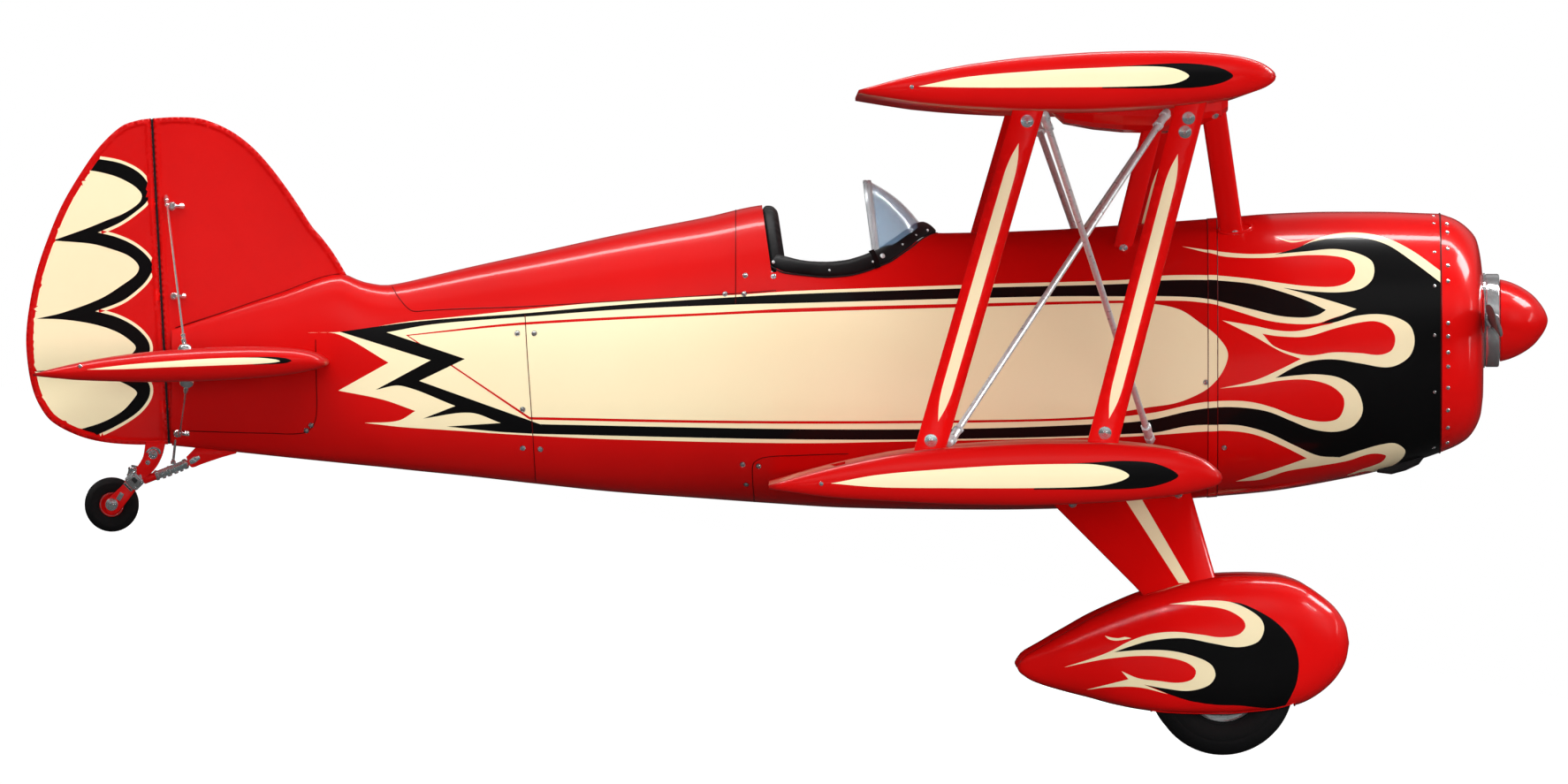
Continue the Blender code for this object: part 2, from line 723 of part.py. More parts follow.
for label, side in (("right", -1), ("left", 1)):
    ends = sorted((side * 0.02, side * TAIL_HALF_SPAN))
    fixed = place("stabilizer_" + label, wing_mesh(
        TAIL_NOSE, TAIL_TAIL, *ends, TAIL_THICK, TAIL_CAMBER, (side < 0, side > 0)), RED)
    cut(fixed, HULL_CUT)
    space = sorted((0.0, side * (ELEVATOR_OUT + 0.006)))
    cut(fixed, hinge_space("elevator_space_" + label, ELEVATOR_HINGE, ELEVATOR_R + HINGE_GAP, *space))
    cut(fixed, rod_cutter("elevator_pin_bore_" + label, on_hinge(side * 0.99), on_hinge(side * 1.040),
                          PIN_BORE_R, 16))
    moving = place("elevator_" + label, wing_mesh(
        TAIL_NOSE, TAIL_TAIL, *sorted((side * 0.075, side * ELEVATOR_OUT)), TAIL_THICK, TAIL_CAMBER,
        (False, False)), RED, on_hinge(0))
    ahead = cutter("elevator_front_" + label, box_mesh(
        ELEVATOR_HINGE[0], 1.4, *sorted((0, side * 1.2)), 1.2, 1.7))
    cut(moving, ahead)
    join(moving, nose_round("elevator_nose_" + label, ELEVATOR_HINGE, ELEVATOR_R, side * 0.0755,
                            side * (ELEVATOR_OUT - 0.0005), on_hinge(0)))
    flare = []
    for z in (1.2, 1.7):
        flare.append([(0.72, side * 0.03, z), (0.70, side * 0.072, z), (0.60, side * 0.085, z),
                      (0.10, side * 0.345, z), (0.0, side * 0.345, z), (0.0, side * 0.03, z)])
    cut(moving, cutter("elevator_flare_" + label, loft(flare)))
    join(moving, cutter("torque_tube_" + label, rod_mesh(
        on_hinge(side * GAP / 2), on_hinge(side * 0.12), TUBE_R, 20)))
    join(moving, cutter("elevator_pin_" + label, rod_mesh(
        on_hinge(side * 0.95), on_hinge(side * 1.035), PIN_R, 16)))
cut(rear, rod_cutter("torque_bore", on_hinge(-0.2), on_hinge(0.2), TUBE_R + 0.0015))

# Wings
UPPER_NOSE = (4.732, 2.5245)
UPPER_TAIL = (3.201, 2.4684)
LOWER_NOSE = (4.5375, 1.0494)
LOWER_TAIL = (2.871, 1.0164)
upper = place("upper_wing", wing_mesh(UPPER_NOSE, UPPER_TAIL, -UPPER_HALF_SPAN, UPPER_HALF_SPAN,
                                      1.0, 0.3, (True, True)), RED)
UPPER_CUT = cutter("upper_wing_cutter", wing_mesh(UPPER_NOSE, UPPER_TAIL, -3.0, 3.0, 1.0, 0.3,
                                                  (False, False), GAP))
AILERON_HINGE = (3.0955, 1.0335)
AILERON_R = 0.0535
AILERON_IN = 1.15
AILERON_OUT = 2.95
LOWER_CUTS = {}
for label, side in (("right", -1), ("left", 1)):
    ends = sorted((side * 0.10, side * LOWER_HALF_SPAN))
    wing = place("lower_wing_" + label, wing_mesh(
        LOWER_NOSE, LOWER_TAIL, *ends, 0.99, 1.0, (side < 0, side > 0)), RED)
    cut(wing, HULL_CUT)
    space = sorted((side * (AILERON_IN - 0.006), side * (AILERON_OUT + 0.006)))
    cut(wing, hinge_space("aileron_space_" + label, AILERON_HINGE, AILERON_R + HINGE_GAP, *space))
    for end in (AILERON_IN, AILERON_OUT):
        cut(wing, rod_cutter("aileron_bore_%s_%d" % (label, end * 100), (
            AILERON_HINGE[0], side * (end - 0.045), AILERON_HINGE[1]), (
            AILERON_HINGE[0], side * (end + 0.045), AILERON_HINGE[1]), PIN_BORE_R, 16))
    origin = (AILERON_HINGE[0], side * (AILERON_IN + AILERON_OUT) / 2, AILERON_HINGE[1])
    moving = place("aileron_" + label, wing_mesh(
        LOWER_NOSE, LOWER_TAIL, *sorted((side * AILERON_IN, side * AILERON_OUT)), 0.99, 1.0,
        (False, False)), RED, origin)
    cut(moving, cutter("aileron_front_" + label, box_mesh(
        AILERON_HINGE[0], 4.8, *sorted((side * 1.0, side * 3.1)), 0.8, 1.3)))
    join(moving, nose_round("aileron_nose_" + label, AILERON_HINGE, AILERON_R, side * (AILERON_IN + 0.0005),
                            side * (AILERON_OUT - 0.0005), origin))
    join(moving, cutter("aileron_pin_" + label, rod_mesh(
        (AILERON_HINGE[0], side * (AILERON_IN - 0.04), AILERON_HINGE[1]),
        (AILERON_HINGE[0], side * (AILERON_OUT + 0.04), AILERON_HINGE[1]), PIN_R, 16), origin))
    LOWER_CUTS[label] = cutter("lower_wing_cutter_" + label, wing_mesh(
        LOWER_NOSE, LOWER_TAIL, *sorted((side * 0.10, side * 3.0)), 0.99, 1.0, (False, False), GAP))

# Fairing under the middle of the upper wing: x, underside, half width
FAIRING = ((3.900, 2.43, 0.30), (3.977, 2.361, 0.38), (4.087, 2.340, 0.43), (4.198, 2.329, 0.45),
           (4.359, 2.3255, 0.45), (4.470, 2.350, 0.43), (4.567, 2.378, 0.38), (4.592, 2.410, 0.34))
rings = []
for x, under, half in FAIRING:
    ring = []
    for i in range(16):
        turn = 2 * math.pi * (i + 0.5) / 16
        tall = 2.44 - under
        if math.sin(turn) < 0:
            ring.append((x, half * power(math.cos(turn), 0.5), 2.44 + tall * power(math.sin(turn), 0.5)))
        else:
            ring.append((x, half * power(math.cos(turn), 0.5), 2.44 + 0.02 * power(math.sin(turn), 0.5)))
    rings.append(ring)
fairing = place("centre_section_fairing", loft(rings), RED)
cut(fairing, UPPER_CUT)
FAIRING_CUT = cutter("fairing_cutter", loft([[(x + (GAP if x > 4.2 else -GAP), y * 1.001, z - GAP)
                                              for x, y, z in ring] for ring in rings]))

# Interplane and cabane struts: name, top point, bottom point, chord, thickness
STREAM = ((0.0, 1.0), (0.06, 1.0), (0.5, 0.97), (0.94, 1.0), (1.0, 1.0))
# Tie rods: share of length, width and thickness, thicker where the threaded ends are
WIRE_ROWS = ((0.0, 0.029, 0.027), (0.075, 0.029, 0.027), (0.083, 0.021, 0.020), (0.917, 0.021, 0.020),
             (0.925, 0.029, 0.027), (1.0, 0.029, 0.027))
for label, side in (("right", -1), ("left", 1)):
    for name, top, bottom, chord, thick in (
            ("interplane_strut_rear_", (3.845, 2.46), (3.451, 1.10), 0.112, 0.036),
            ("interplane_strut_front_", (4.4376, 2.46), (4.084, 1.10), 0.112, 0.036)):
        item = place(name + label, strut_mesh(
            (top[0], side * STRUT_Y, top[1]), (bottom[0], side * STRUT_Y, bottom[1]),
            [(share, chord * wide, thick) for share, wide in STREAM]), RED)
        cut(item, UPPER_CUT)
        cut(item, LOWER_CUTS[label])
    for name, top, bottom, chord, thick in (
            ("cabane_strut_rear_", (4.3115, 0.30, 2.35), (4.184, 0.20, 1.84), 0.066, 0.028),
            ("cabane_strut_front_", (4.540, 0.30, 2.42), (4.616, 0.17, 1.90), 0.084, 0.030)):
        item = place(name + label, strut_mesh(
            (top[0], side * top[1], top[2]), (bottom[0], side * bottom[1], bottom[2]),
            [(share, chord * wide, thick) for share, wide in STREAM]), RED)
        cut(item, HULL_CUT)
        cut(item, FAIRING_CUT)
        cut(item, UPPER_CUT)
    for name, top, bottom in (
            ("flying_wire_", (3.8734, WIRE_Y, 2.43), (4.3129, 0.405, 1.14)),
            ("landing_wire_", (4.3915, 0.465, 2.45), (3.5196, WIRE_Y, 1.15))):
        item = place(name + label, strut_mesh(
            (top[0], side * top[1], top[2]), (bottom[0], side * bottom[1], bottom[2]),
            WIRE_ROWS), POLISHED)
        cut(item, UPPER_CUT)
        cut(item, LOWER_CUTS[label])
        cut(item, HULL_CUT)
        cut(item, FAIRING_CUT)

# Main gear
PANT = (
    (3.798, 0.363, 0.313, 0.008),
    (3.881, 0.403, 0.272, 0.045),
    (3.973, 0.459, 0.241, 0.075),
    (4.066, 0.508, 0.218, 0.100),
    (4.158, 0.551, 0.193, 0.120),
    (4.270, 0.597, 0.172, 0.134),
    (4.363, 0.624, 0.162, 0.140),
    (4.483, 0.653, 0.158, 0.142),
    (4.576, 0.668, 0.158, 0.142),
    (4.668, 0.670, 0.165, 0.140),
    (4.761, 0.667, 0.175, 0.136),
    (4.854, 0.644, 0.195, 0.126),
    (4.927, 0.600, 0.234, 0.106),
    (4.993, 0.541, 0.297, 0.072),
    (5.029, 0.475, 0.365, 0.030),
)
TYRE = ((0.1400, 0.060), (0.172, 0.0725), (0.215, 0.074), (0.248, 0.060), (0.2625, 0.032),
        (0.265, 0.0), (0.2625, -0.032), (0.248, -0.060), (0.215, -0.074), (0.172, -0.0725),
        (0.1400, -0.060))
RIM_PROFILE = ((0.0206, 0.058), (0.050, 0.058), (0.062, 0.030), (0.112, 0.034), (0.128, 0.058),
               (0.1397, 0.058), (0.1397, -0.058), (0.128, -0.058), (0.112, -0.034), (0.062, -0.030),
               (0.050, -0.058), (0.0206, -0.058))
for label, side in (("right", -1), ("left", 1)):
    axle_x, axle_z = MAIN_AXLE
    mid = side * MAIN_TRACK_HALF
    rings = []
    for x, top, bottom, half in PANT:
        ring = []
        for i in range(20):
            turn = 2 * math.pi * (i + 0.5) / 20
            y = mid + half * power(math.cos(turn), 0.78)
            z = (top + bottom) / 2 + (top - bottom) / 2 * power(math.sin(turn), 0.86)
            ring.append((x, y, z))
        rings.append(ring)
    pant = place("wheel_pant_" + label, loft(rings), RED)
    cut(pant, rod_cutter("wheel_pocket_" + label, (axle_x, mid - 0.088, axle_z),
                         (axle_x, mid + 0.088, axle_z), 0.290, 40))
    cut(pant, rod_cutter("wheel_slot_" + label, (axle_x, mid - side * 0.2, axle_z),
                         (axle_x, mid, axle_z), 0.020 + GAP))
    # Leg sections: centre x, y, z, chord, thickness
    rows = ((4.147, 0.240, 1.020, 0.589, 0.060), (4.4095, 0.466, 0.610, 0.297, 0.050),
            (4.520, 0.600, 0.360, 0.130, 0.044), (axle_x, 0.628, 0.266, 0.075, 0.040),
            (axle_x + 0.004, 0.634, 0.225, 0.055, 0.030))
    rings = []
    for x, y, z, chord, thick in rows:
        ring = []
        for i in range(16):
            turn = 2 * math.pi * i / 16
            deep = math.sin(turn) * thick / 2 * (1 + 0.25 * math.cos(turn))
            ring.append((x + math.cos(turn) * chord / 2, side * (y + deep * 0.87), z + deep * 0.45))
        rings.append(ring)
    leg = place("gear_leg_" + label, loft(rings), RED)
    cut(leg, HULL_CUT)
    cut(leg, LOWER_CUTS[label])
    join(leg, cutter("axle_" + label, rod_mesh((axle_x, side * 0.628, axle_z),
                                               (axle_x, side * 0.865, axle_z), 0.020, 24)))
    join(leg, cutter("axle_flange_" + label, rod_mesh((axle_x, side * 0.628, axle_z),
                                                      (axle_x, side * 0.6575, axle_z), 0.040, 24)))
    turned("main_tyre_" + label, TYRE, RUBBER, (axle_x, mid, axle_z), ALONG_Y, 32)
    turned("main_rim_" + label, RIM_PROFILE, CREAM, (axle_x, mid, axle_z), ALONG_Y, 32)

# Tail gear
axle_x, axle_z = TAIL_AXLE
SPINDLE = Vector((0.482, 0, 1.052))
SPINDLE_LEAN = math.radians(11.293)
SPINDLE_WAY = Vector((math.sin(SPINDLE_LEAN), 0, math.cos(SPINDLE_LEAN)))


def along_spindle(height):
    return SPINDLE + SPINDLE_WAY * height


arm = place("tail_gear_arm", rod_mesh(along_spindle(-0.016), along_spindle(0.020), 0.021, 24), RED)
ARM = ((0.480, 1.0425), (0.508, 1.0425), (0.600, 1.108), (0.690, 1.112), (0.700, 1.160),
       (0.632, 1.160), (0.6235, 1.1485), (0.590, 1.1475), (0.556, 1.120), (0.503, 1.060), (0.480, 1.060))
join(arm, cutter("arm_beam", slab_mesh(ARM, 0.014, 0.003)))
cut(arm, HULL_CUT)
cut(arm, rod_cutter("arm_bore", along_spindle(-0.05), along_spindle(0.05), 0.0105))
FORK_SIDE = 0.040
fork = place("tail_fork", rod_mesh(along_spindle(-0.030), along_spindle(0.034), 0.010, 20), RED,
             tuple(SPINDLE))
join(fork, cutter("fork_cap", rod_mesh(along_spindle(0.0205), along_spindle(0.034), 0.018, 20)))
FORK = ((0.372, 0.932), (0.385, 0.906), (0.415, 0.900), (0.436, 0.925), (0.500, 1.016),
        (0.505, 1.0285), (0.455, 1.0285))
for end, side in (("right", -1), ("left", 1)):
    join(fork, cutter("fork_cheek_" + end, slab_mesh(FORK, 0.005, 0.002, side * FORK_SIDE)))
join(fork, cutter("fork_crown", box_mesh(0.468, 0.500, -0.0445, 0.0445, 1.020, 1.0285)))
join(fork, cutter("fork_axle", rod_mesh((axle_x, -0.052, axle_z), (axle_x, 0.052, axle_z), 0.0075, 16)))
TAIL_TYRE = ((0.0460, 0.018), (0.066, 0.0245), (0.086, 0.0235), (0.0985, 0.014), (0.1026, 0.0),
             (0.0985, -0.014), (0.086, -0.0235), (0.066, -0.0245), (0.0460, -0.018))
TAIL_RIM = ((0.0080, 0.024), (0.022, 0.024), (0.028, 0.014), (0.040, 0.016), (0.0457, 0.018),
            (0.0457, -0.018), (0.040, -0.016), (0.028, -0.014), (0.022, -0.024), (0.0080, -0.024))
turned("tail_tyre", TAIL_TYRE, RUBBER, (axle_x, 0, axle_z), ALONG_Y, 24)
turned("tail_rim", TAIL_RIM, RED, (axle_x, 0, axle_z), ALONG_Y, 24)
bracket = place("tail_bracket", slab_mesh(((0.712, 1.098), (0.745, 1.083), (0.800, 1.105),
                                           (0.872, 1.135), (0.80, 1.16), (0.712, 1.16)), 0.012, 0.003), RED)
cut(bracket, HULL_CUT)
spring = place("tail_spring_strut", rod_mesh((0.568, 0, 1.041), (0.698, 0, 1.092), 0.018, 20), POLISHED)
join(spring, cutter("spring_rod", rod_mesh((0.520, 0, 1.0222), (0.735, 0, 1.1065), 0.008, 12)))
BRACKET_CUT = cutter("bracket_cutter", slab_mesh(((0.7117, 1.098), (0.745, 1.0827), (0.800, 1.1047),
                                                  (0.8724, 1.135), (0.80, 1.1603), (0.7117, 1.1603)),
                                                 0.0123, 0.003))
cut(spring, BRACKET_CUT)
cut(spring, rod_cutter("socket_cutter", along_spindle(-0.08), along_spindle(0.08), 0.0213))


# Stance: both wheels on the ground, middle of the length over the origin
def world_box():
    bpy.context.view_layer.update()
    graph = bpy.context.evaluated_depsgraph_get()
    low = Vector((1e9, 1e9, 1e9))
    high = -low
    for item in PARTS.objects:
        if item.type != "MESH":
            continue
        ready = item.evaluated_get(graph)
        mesh = ready.to_mesh()
        for vert in mesh.vertices:
            spot = ready.matrix_world @ vert.co
            low = Vector(map(min, low, spot))
            high = Vector(map(max, high, spot))
        ready.to_mesh_clear()
    return low, high


main_spot = Vector(MAIN_AXLE)
tail_spot = Vector(TAIL_AXLE)
between = tail_spot - main_spot
STANCE_TURN = math.asin(between.y / between.length) + math.asin((MAIN_R - TAIL_R) / between.length)
STANCE.rotation_euler = (0, -STANCE_TURN, 0)
lowest, highest = world_box()
STANCE.location = (-(lowest.x + highest.x) / 2, 0, -lowest.z)
bpy.context.view_layer.update()
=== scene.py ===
"""Look-dev scene of the biplane: painted skins, fittings, leather, glass and studio."""
import json
import math

import bpy
import numpy as np
from mathutils import Matrix, Vector, geometry


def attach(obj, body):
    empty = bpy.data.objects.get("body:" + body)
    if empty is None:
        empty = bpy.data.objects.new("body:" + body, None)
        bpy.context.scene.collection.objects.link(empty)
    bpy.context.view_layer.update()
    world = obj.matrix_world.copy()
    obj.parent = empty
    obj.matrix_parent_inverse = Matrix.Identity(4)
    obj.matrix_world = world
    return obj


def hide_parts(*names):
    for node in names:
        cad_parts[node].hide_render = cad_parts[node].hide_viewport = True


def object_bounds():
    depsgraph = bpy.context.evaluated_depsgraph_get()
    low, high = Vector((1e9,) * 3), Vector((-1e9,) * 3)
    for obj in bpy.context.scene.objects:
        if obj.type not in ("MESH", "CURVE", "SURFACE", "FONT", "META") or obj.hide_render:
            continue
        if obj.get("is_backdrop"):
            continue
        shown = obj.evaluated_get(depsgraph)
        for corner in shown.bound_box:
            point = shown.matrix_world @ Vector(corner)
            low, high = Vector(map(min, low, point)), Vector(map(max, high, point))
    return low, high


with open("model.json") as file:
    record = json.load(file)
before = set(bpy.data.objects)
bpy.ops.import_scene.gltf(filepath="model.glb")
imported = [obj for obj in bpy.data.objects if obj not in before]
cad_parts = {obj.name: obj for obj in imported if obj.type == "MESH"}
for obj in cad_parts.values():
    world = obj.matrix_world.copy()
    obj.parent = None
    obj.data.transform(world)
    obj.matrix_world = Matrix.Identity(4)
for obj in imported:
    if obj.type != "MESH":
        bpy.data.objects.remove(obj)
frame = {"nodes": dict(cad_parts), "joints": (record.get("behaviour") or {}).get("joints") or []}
CAD_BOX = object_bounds()

# Level frame: fuselage level, nose +X, starboard -Y, as in the photograph. TURN and SHIFT park it.
PIXEL = 0.0033
PHOTO_WIDTH, PHOTO_HEIGHT = 1774, 887
GROUND_ROW = 855.0
SIDES = ((-1, "right"), (1, "left"))
PROP_CENTRE = Vector((5.5865, 0.0, 1.6236))
JOINTS = {joint["name"]: joint for joint in frame["joints"]}
PROP_AXIS = Vector(JOINTS["propeller_spin"]["axis"])
PITCH = math.atan2(PROP_AXIS.z, PROP_AXIS.x)
TURN = Matrix.Rotation(-PITCH, 3, "Y")
SHIFT = Vector(JOINTS["propeller_spin"]["pos_m"]) - TURN @ PROP_CENTRE
TURN_ARRAY = np.array(TURN)
SHIFT_ARRAY = np.array(SHIFT)
# Paint stands this far off the CAD's faces
SKIN = 0.0015


def spot(x, row):
    """A photograph point as (x, z) in the level frame."""
    return x * PIXEL, (GROUND_ROW - row) * PIXEL


def at_side(point, side):
    return point[0], side * point[1], point[2]


# Materials


def new_look(name):
    look = bpy.data.materials.new(name)
    look.use_nodes = True
    return look, look.node_tree.nodes, look.node_tree.links, look.node_tree.nodes["Principled BSDF"]


def noise(nodes, links, scale, detail=2.0):
    place = nodes.new("ShaderNodeTexCoord")
    texture = nodes.new("ShaderNodeTexNoise")
    texture.inputs["Scale"].default_value = scale
    texture.inputs["Detail"].default_value = detail
    links.new(place.outputs["Object"], texture.inputs["Vector"])
    return texture.outputs["Fac"]


def ramp(nodes, links, value, stops):
    made = nodes.new("ShaderNodeValToRGB")
    while len(made.color_ramp.elements) < len(stops):
        made.color_ramp.elements.new(0.5)
    for element, (where, colour) in zip(made.color_ramp.elements, stops):
        element.position = where
        element.color = (*colour, 1.0)
    links.new(value, made.inputs["Fac"])
    return made.outputs["Color"]


def bump(nodes, links, shader, height, strength, distance=0.001):
    made = nodes.new("ShaderNodeBump")
    made.inputs["Strength"].default_value = strength
    made.inputs["Distance"].default_value = distance
    links.new(height, made.inputs["Height"])
    links.new(made.outputs["Normal"], shader.inputs["Normal"])


def enamel(name, colour, shade, rough=0.24, coat=0.45, fabric=False):
    """Sprayed gloss paint: slight drift of colour, orange peel, or the weave of doped cloth."""
    look, nodes, links, shader = new_look(name)
    drift = noise(nodes, links, 2.3, 4.0)
    links.new(ramp(nodes, links, drift, ((0.3, shade), (0.7, colour))), shader.inputs["Base Color"])
    shader.inputs["Roughness"].default_value = rough
    shader.inputs["Specular IOR Level"].default_value = 0.12
    shader.inputs["Coat Weight"].default_value = coat
    shader.inputs["Coat Roughness"].default_value = 0.07
    if fabric:
        place = nodes.new("ShaderNodeTexCoord")
        waves = []
        for direction in ("X", "Y"):
            wave = nodes.new("ShaderNodeTexWave")
            wave.bands_direction = direction
            wave.inputs["Scale"].default_value = 130.0
            links.new(place.outputs["Object"], wave.inputs["Vector"])
            waves.append(wave.outputs["Fac"])
        weave = nodes.new("ShaderNodeMath")
        weave.operation = "MAXIMUM"
        links.new(waves[0], weave.inputs[0])
        links.new(waves[1], weave.inputs[1])
        bump(nodes, links, shader, weave.outputs["Value"], 0.05, 0.0004)
    else:
        bump(nodes, links, shader, noise(nodes, links, 260.0), 0.03, 0.0004)
    return look


def metal(name, colour, shade, rough, grain=60.0, metallic=1.0):
    look, nodes, links, shader = new_look(name)
    cloud = noise(nodes, links, grain, 3.0)
    links.new(ramp(nodes, links, cloud, ((0.3, shade), (0.7, colour))), shader.inputs["Base Color"])
    shader.inputs["Metallic"].default_value = metallic
    rough_ramp = ramp(nodes, links, cloud, ((0.3, (rough * 0.7,) * 3), (0.7, (rough * 1.3,) * 3)))
    links.new(rough_ramp, shader.inputs["Roughness"])
    bump(nodes, links, shader, noise(nodes, links, 400.0), 0.02, 0.0003)
    return look


def hide(name, colour, shade, rough=0.5):
    """Leather: pebbled grain over soft folds."""
    look, nodes, links, shader = new_look(name)
    place = nodes.new("ShaderNodeTexCoord")
    grain = nodes.new("ShaderNodeTexVoronoi")
    grain.inputs["Scale"].default_value = 420.0
    links.new(place.outputs["Object"], grain.inputs["Vector"])
    links.new(ramp(nodes, links, noise(nodes, links, 14.0, 5.0), ((0.3, shade), (0.75, colour))),
              shader.inputs["Base Color"])
    shader.inputs["Roughness"].default_value = rough
    shader.inputs["Specular IOR Level"].default_value = 0.22
    shader.inputs["Sheen Weight"].default_value = 0.03
    bump(nodes, links, shader, grain.outputs["Distance"], 0.35, 0.0006)
    return look


def matte(name, colour, shade, rough=0.8, scale=90.0, strength=0.2):
    look, nodes, links, shader = new_look(name)
    cloud = noise(nodes, links, scale, 6.0)
    links.new(ramp(nodes, links, cloud, ((0.3, shade), (0.7, colour))), shader.inputs["Base Color"])
    shader.inputs["Roughness"].default_value = rough
    bump(nodes, links, shader, cloud, strength, 0.0006)
    return look


RED = enamel("red_enamel", (0.70, 0.0040, 0.0035), (0.64, 0.0032, 0.0030))
RED_CLOTH = enamel("red_doped_cloth", (0.57, 0.0036, 0.0032), (0.52, 0.0030, 0.0028), 0.30, 0.30, True)
CREAM = enamel("cream_enamel", (0.92, 0.795, 0.515), (0.89, 0.77, 0.49), 0.28, 0.30)
BLACK = enamel("black_enamel", (0.0040, 0.0040, 0.0042), (0.0030, 0.0030, 0.0032), 0.28, 0.30)
DARK_RED = enamel("dark_red_seam", (0.10, 0.002, 0.002), (0.07, 0.001, 0.001), 0.4, 0.2)
CHROME = metal("chrome", (0.86, 0.87, 0.88), (0.76, 0.78, 0.79), 0.15, metallic=0.88)
STAINLESS = metal("stainless_wire", (0.78, 0.84, 0.85), (0.62, 0.69, 0.70), 0.36, metallic=0.40)
SATIN = matte("painted_blade", (0.105, 0.11, 0.115), (0.080, 0.085, 0.090), 0.5)
SATIN.node_tree.nodes["Principled BSDF"].inputs["Specular IOR Level"].default_value = 0.15
BRUSHED = metal("brushed_steel", (0.46, 0.49, 0.51), (0.40, 0.43, 0.45), 0.32, 6.0, 0.35)
STEEL = metal("steel", (0.55, 0.56, 0.58), (0.42, 0.43, 0.45), 0.3)
LEATHER = hide("black_leather", (0.009, 0.009, 0.0095), (0.0045, 0.0045, 0.005))
RUBBER = matte("tyre_rubber", (0.0085, 0.0085, 0.009), (0.005, 0.005, 0.0055), 0.62, 160.0, 0.25)
INTERIOR = matte("cockpit_paint", (0.060, 0.064, 0.062), (0.045, 0.048, 0.047), 0.6, 60.0, 0.1)
CASTING = matte("engine_casting", (0.13, 0.13, 0.135), (0.07, 0.07, 0.075), 0.55, 80.0, 0.4)
DARK = matte("dark_plastic", (0.014, 0.014, 0.015), (0.008, 0.008, 0.009), 0.5, 120.0, 0.1)


# Mesh helpers


def piece(name, points, faces, looks, body, normals=None, slots=None, sharp=None, replace=()):
    """A mesh given in the level frame, parked and riding on a body."""
    mesh = bpy.data.meshes.new(name)
    placed = np.asarray(points, float) @ TURN_ARRAY.T + SHIFT_ARRAY
    mesh.from_pydata(placed.tolist(), [], [tuple(face) for face in faces])
    for look in looks:
        mesh.materials.append(look)
    if slots is not None:
        mesh.polygons.foreach_set("material_index", list(slots))
    mesh.shade_smooth()
    if normals is not None:
        turned = np.asarray(normals, float) @ TURN_ARRAY.T
        mesh.normals_split_custom_set_from_vertices(turned.tolist())
    elif sharp is not None:
        mesh.set_sharp_from_angle(angle=math.radians(sharp))
    item = bpy.data.objects.new(name, mesh)
    bpy.context.scene.collection.objects.link(item)
    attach(item, body)
    if replace:
        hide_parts(*replace)
    return item


class Heap:
    """Small pieces gathered into one mesh."""

    def __init__(self):
        self.points = []
        self.faces = []
        self.slots = []

    def add(self, shape, slot=0):
        points, faces = shape
        start = len(self.points)
        self.points.extend(tuple(point) for point in points)
        self.faces.extend(tuple(i + start for i in face) for face in faces)
        self.slots.extend([slot] * len(faces))

    def both(self, shape, slot=0):
        """The shape and its mirror image on the port side."""
        self.add(shape, slot)
        points, faces = shape
        self.add(([(p[0], -p[1], p[2]) for p in points], [tuple(reversed(face)) for face in faces]), slot)

    def build(self, name, looks, body, sharp=40, replace=()):
        return piece(name, self.points, self.faces, looks, body, slots=self.slots, sharp=sharp,
                     replace=replace)


def bands(rows, count, closed=False):
    """Faces between neighbouring rings of count points."""
    faces = []
    for i in range(rows if closed else rows - 1):
        here, there = i * count, (i + 1) % rows * count
        for k in range(count):
            m = (k + 1) % count
            faces.append((here + k, here + m, there + m, there + k))
    return faces


def caps(rows, count):
    return [tuple(range(count))[::-1], tuple(range((rows - 1) * count, rows * count))]


def loft(rings):
    count = len(rings[0])
    return [point for ring in rings for point in ring], bands(len(rings), count) + caps(len(rings), count)


def frame_of(way):
    way = Vector(way).normalized()
    side = way.orthogonal().normalized()
    return way, side, way.cross(side)


def tube(path, radius, sides=8, closed=False):
    """A round tube along a path; radius is one number or one for each point."""
    path = [Vector(point) for point in path]
    count = len(path)
    radii = radius if hasattr(radius, "__len__") else [radius] * count
    points = []
    side = None
    for i, point in enumerate(path):
        before = path[(i - 1) % count] if closed or i else path[0]
        after = path[(i + 1) % count] if closed or i < count - 1 else path[-1]
        way = (after - before).normalized()
        side = way.orthogonal() if side is None else side - way * side.dot(way)
        side.normalize()
        over = way.cross(side)
        for k in range(sides):
            turn = 2 * math.pi * k / sides
            points.append(point + (side * math.cos(turn) + over * math.sin(turn)) * radii[i])
    return points, bands(count, sides, closed) + ([] if closed else caps(count, sides))


def rod(start, end, radius, sides=12):
    return tube((start, end), radius, sides)


def lathe(centre, way, profile, sides=16):
    """A turned shape: profile of (radius, distance along way)."""
    way, side, over = frame_of(way)
    centre = Vector(centre)
    points = []
    for radius, along in profile:
        for k in range(sides):
            turn = 2 * math.pi * k / sides
            points.append(centre + way * along
                          + (side * math.cos(turn) + over * math.sin(turn)) * max(radius, 1e-5))
    return points, bands(len(profile), sides)


def dome(centre, way, radius, height=None, sides=10):
    height = radius * 0.55 if height is None else height
    rows = ((1.0, -0.3), (1.0, 0.1), (0.86, 0.55), (0.5, 0.9), (0.0, 1.0))
    return lathe(centre, way, [(radius * r, height * h) for r, h in rows], sides)


def hexnut(centre, way, radius, height):
    profile = ((radius * 0.98, -height * 0.2), (radius, 0), (radius, height * 0.85),
               (radius * 0.86, height), (0, height))
    return lathe(centre, way, profile, 6)


def mirrored(points):
    made = np.array(points, float)
    made[..., 1] *= -1
    return made


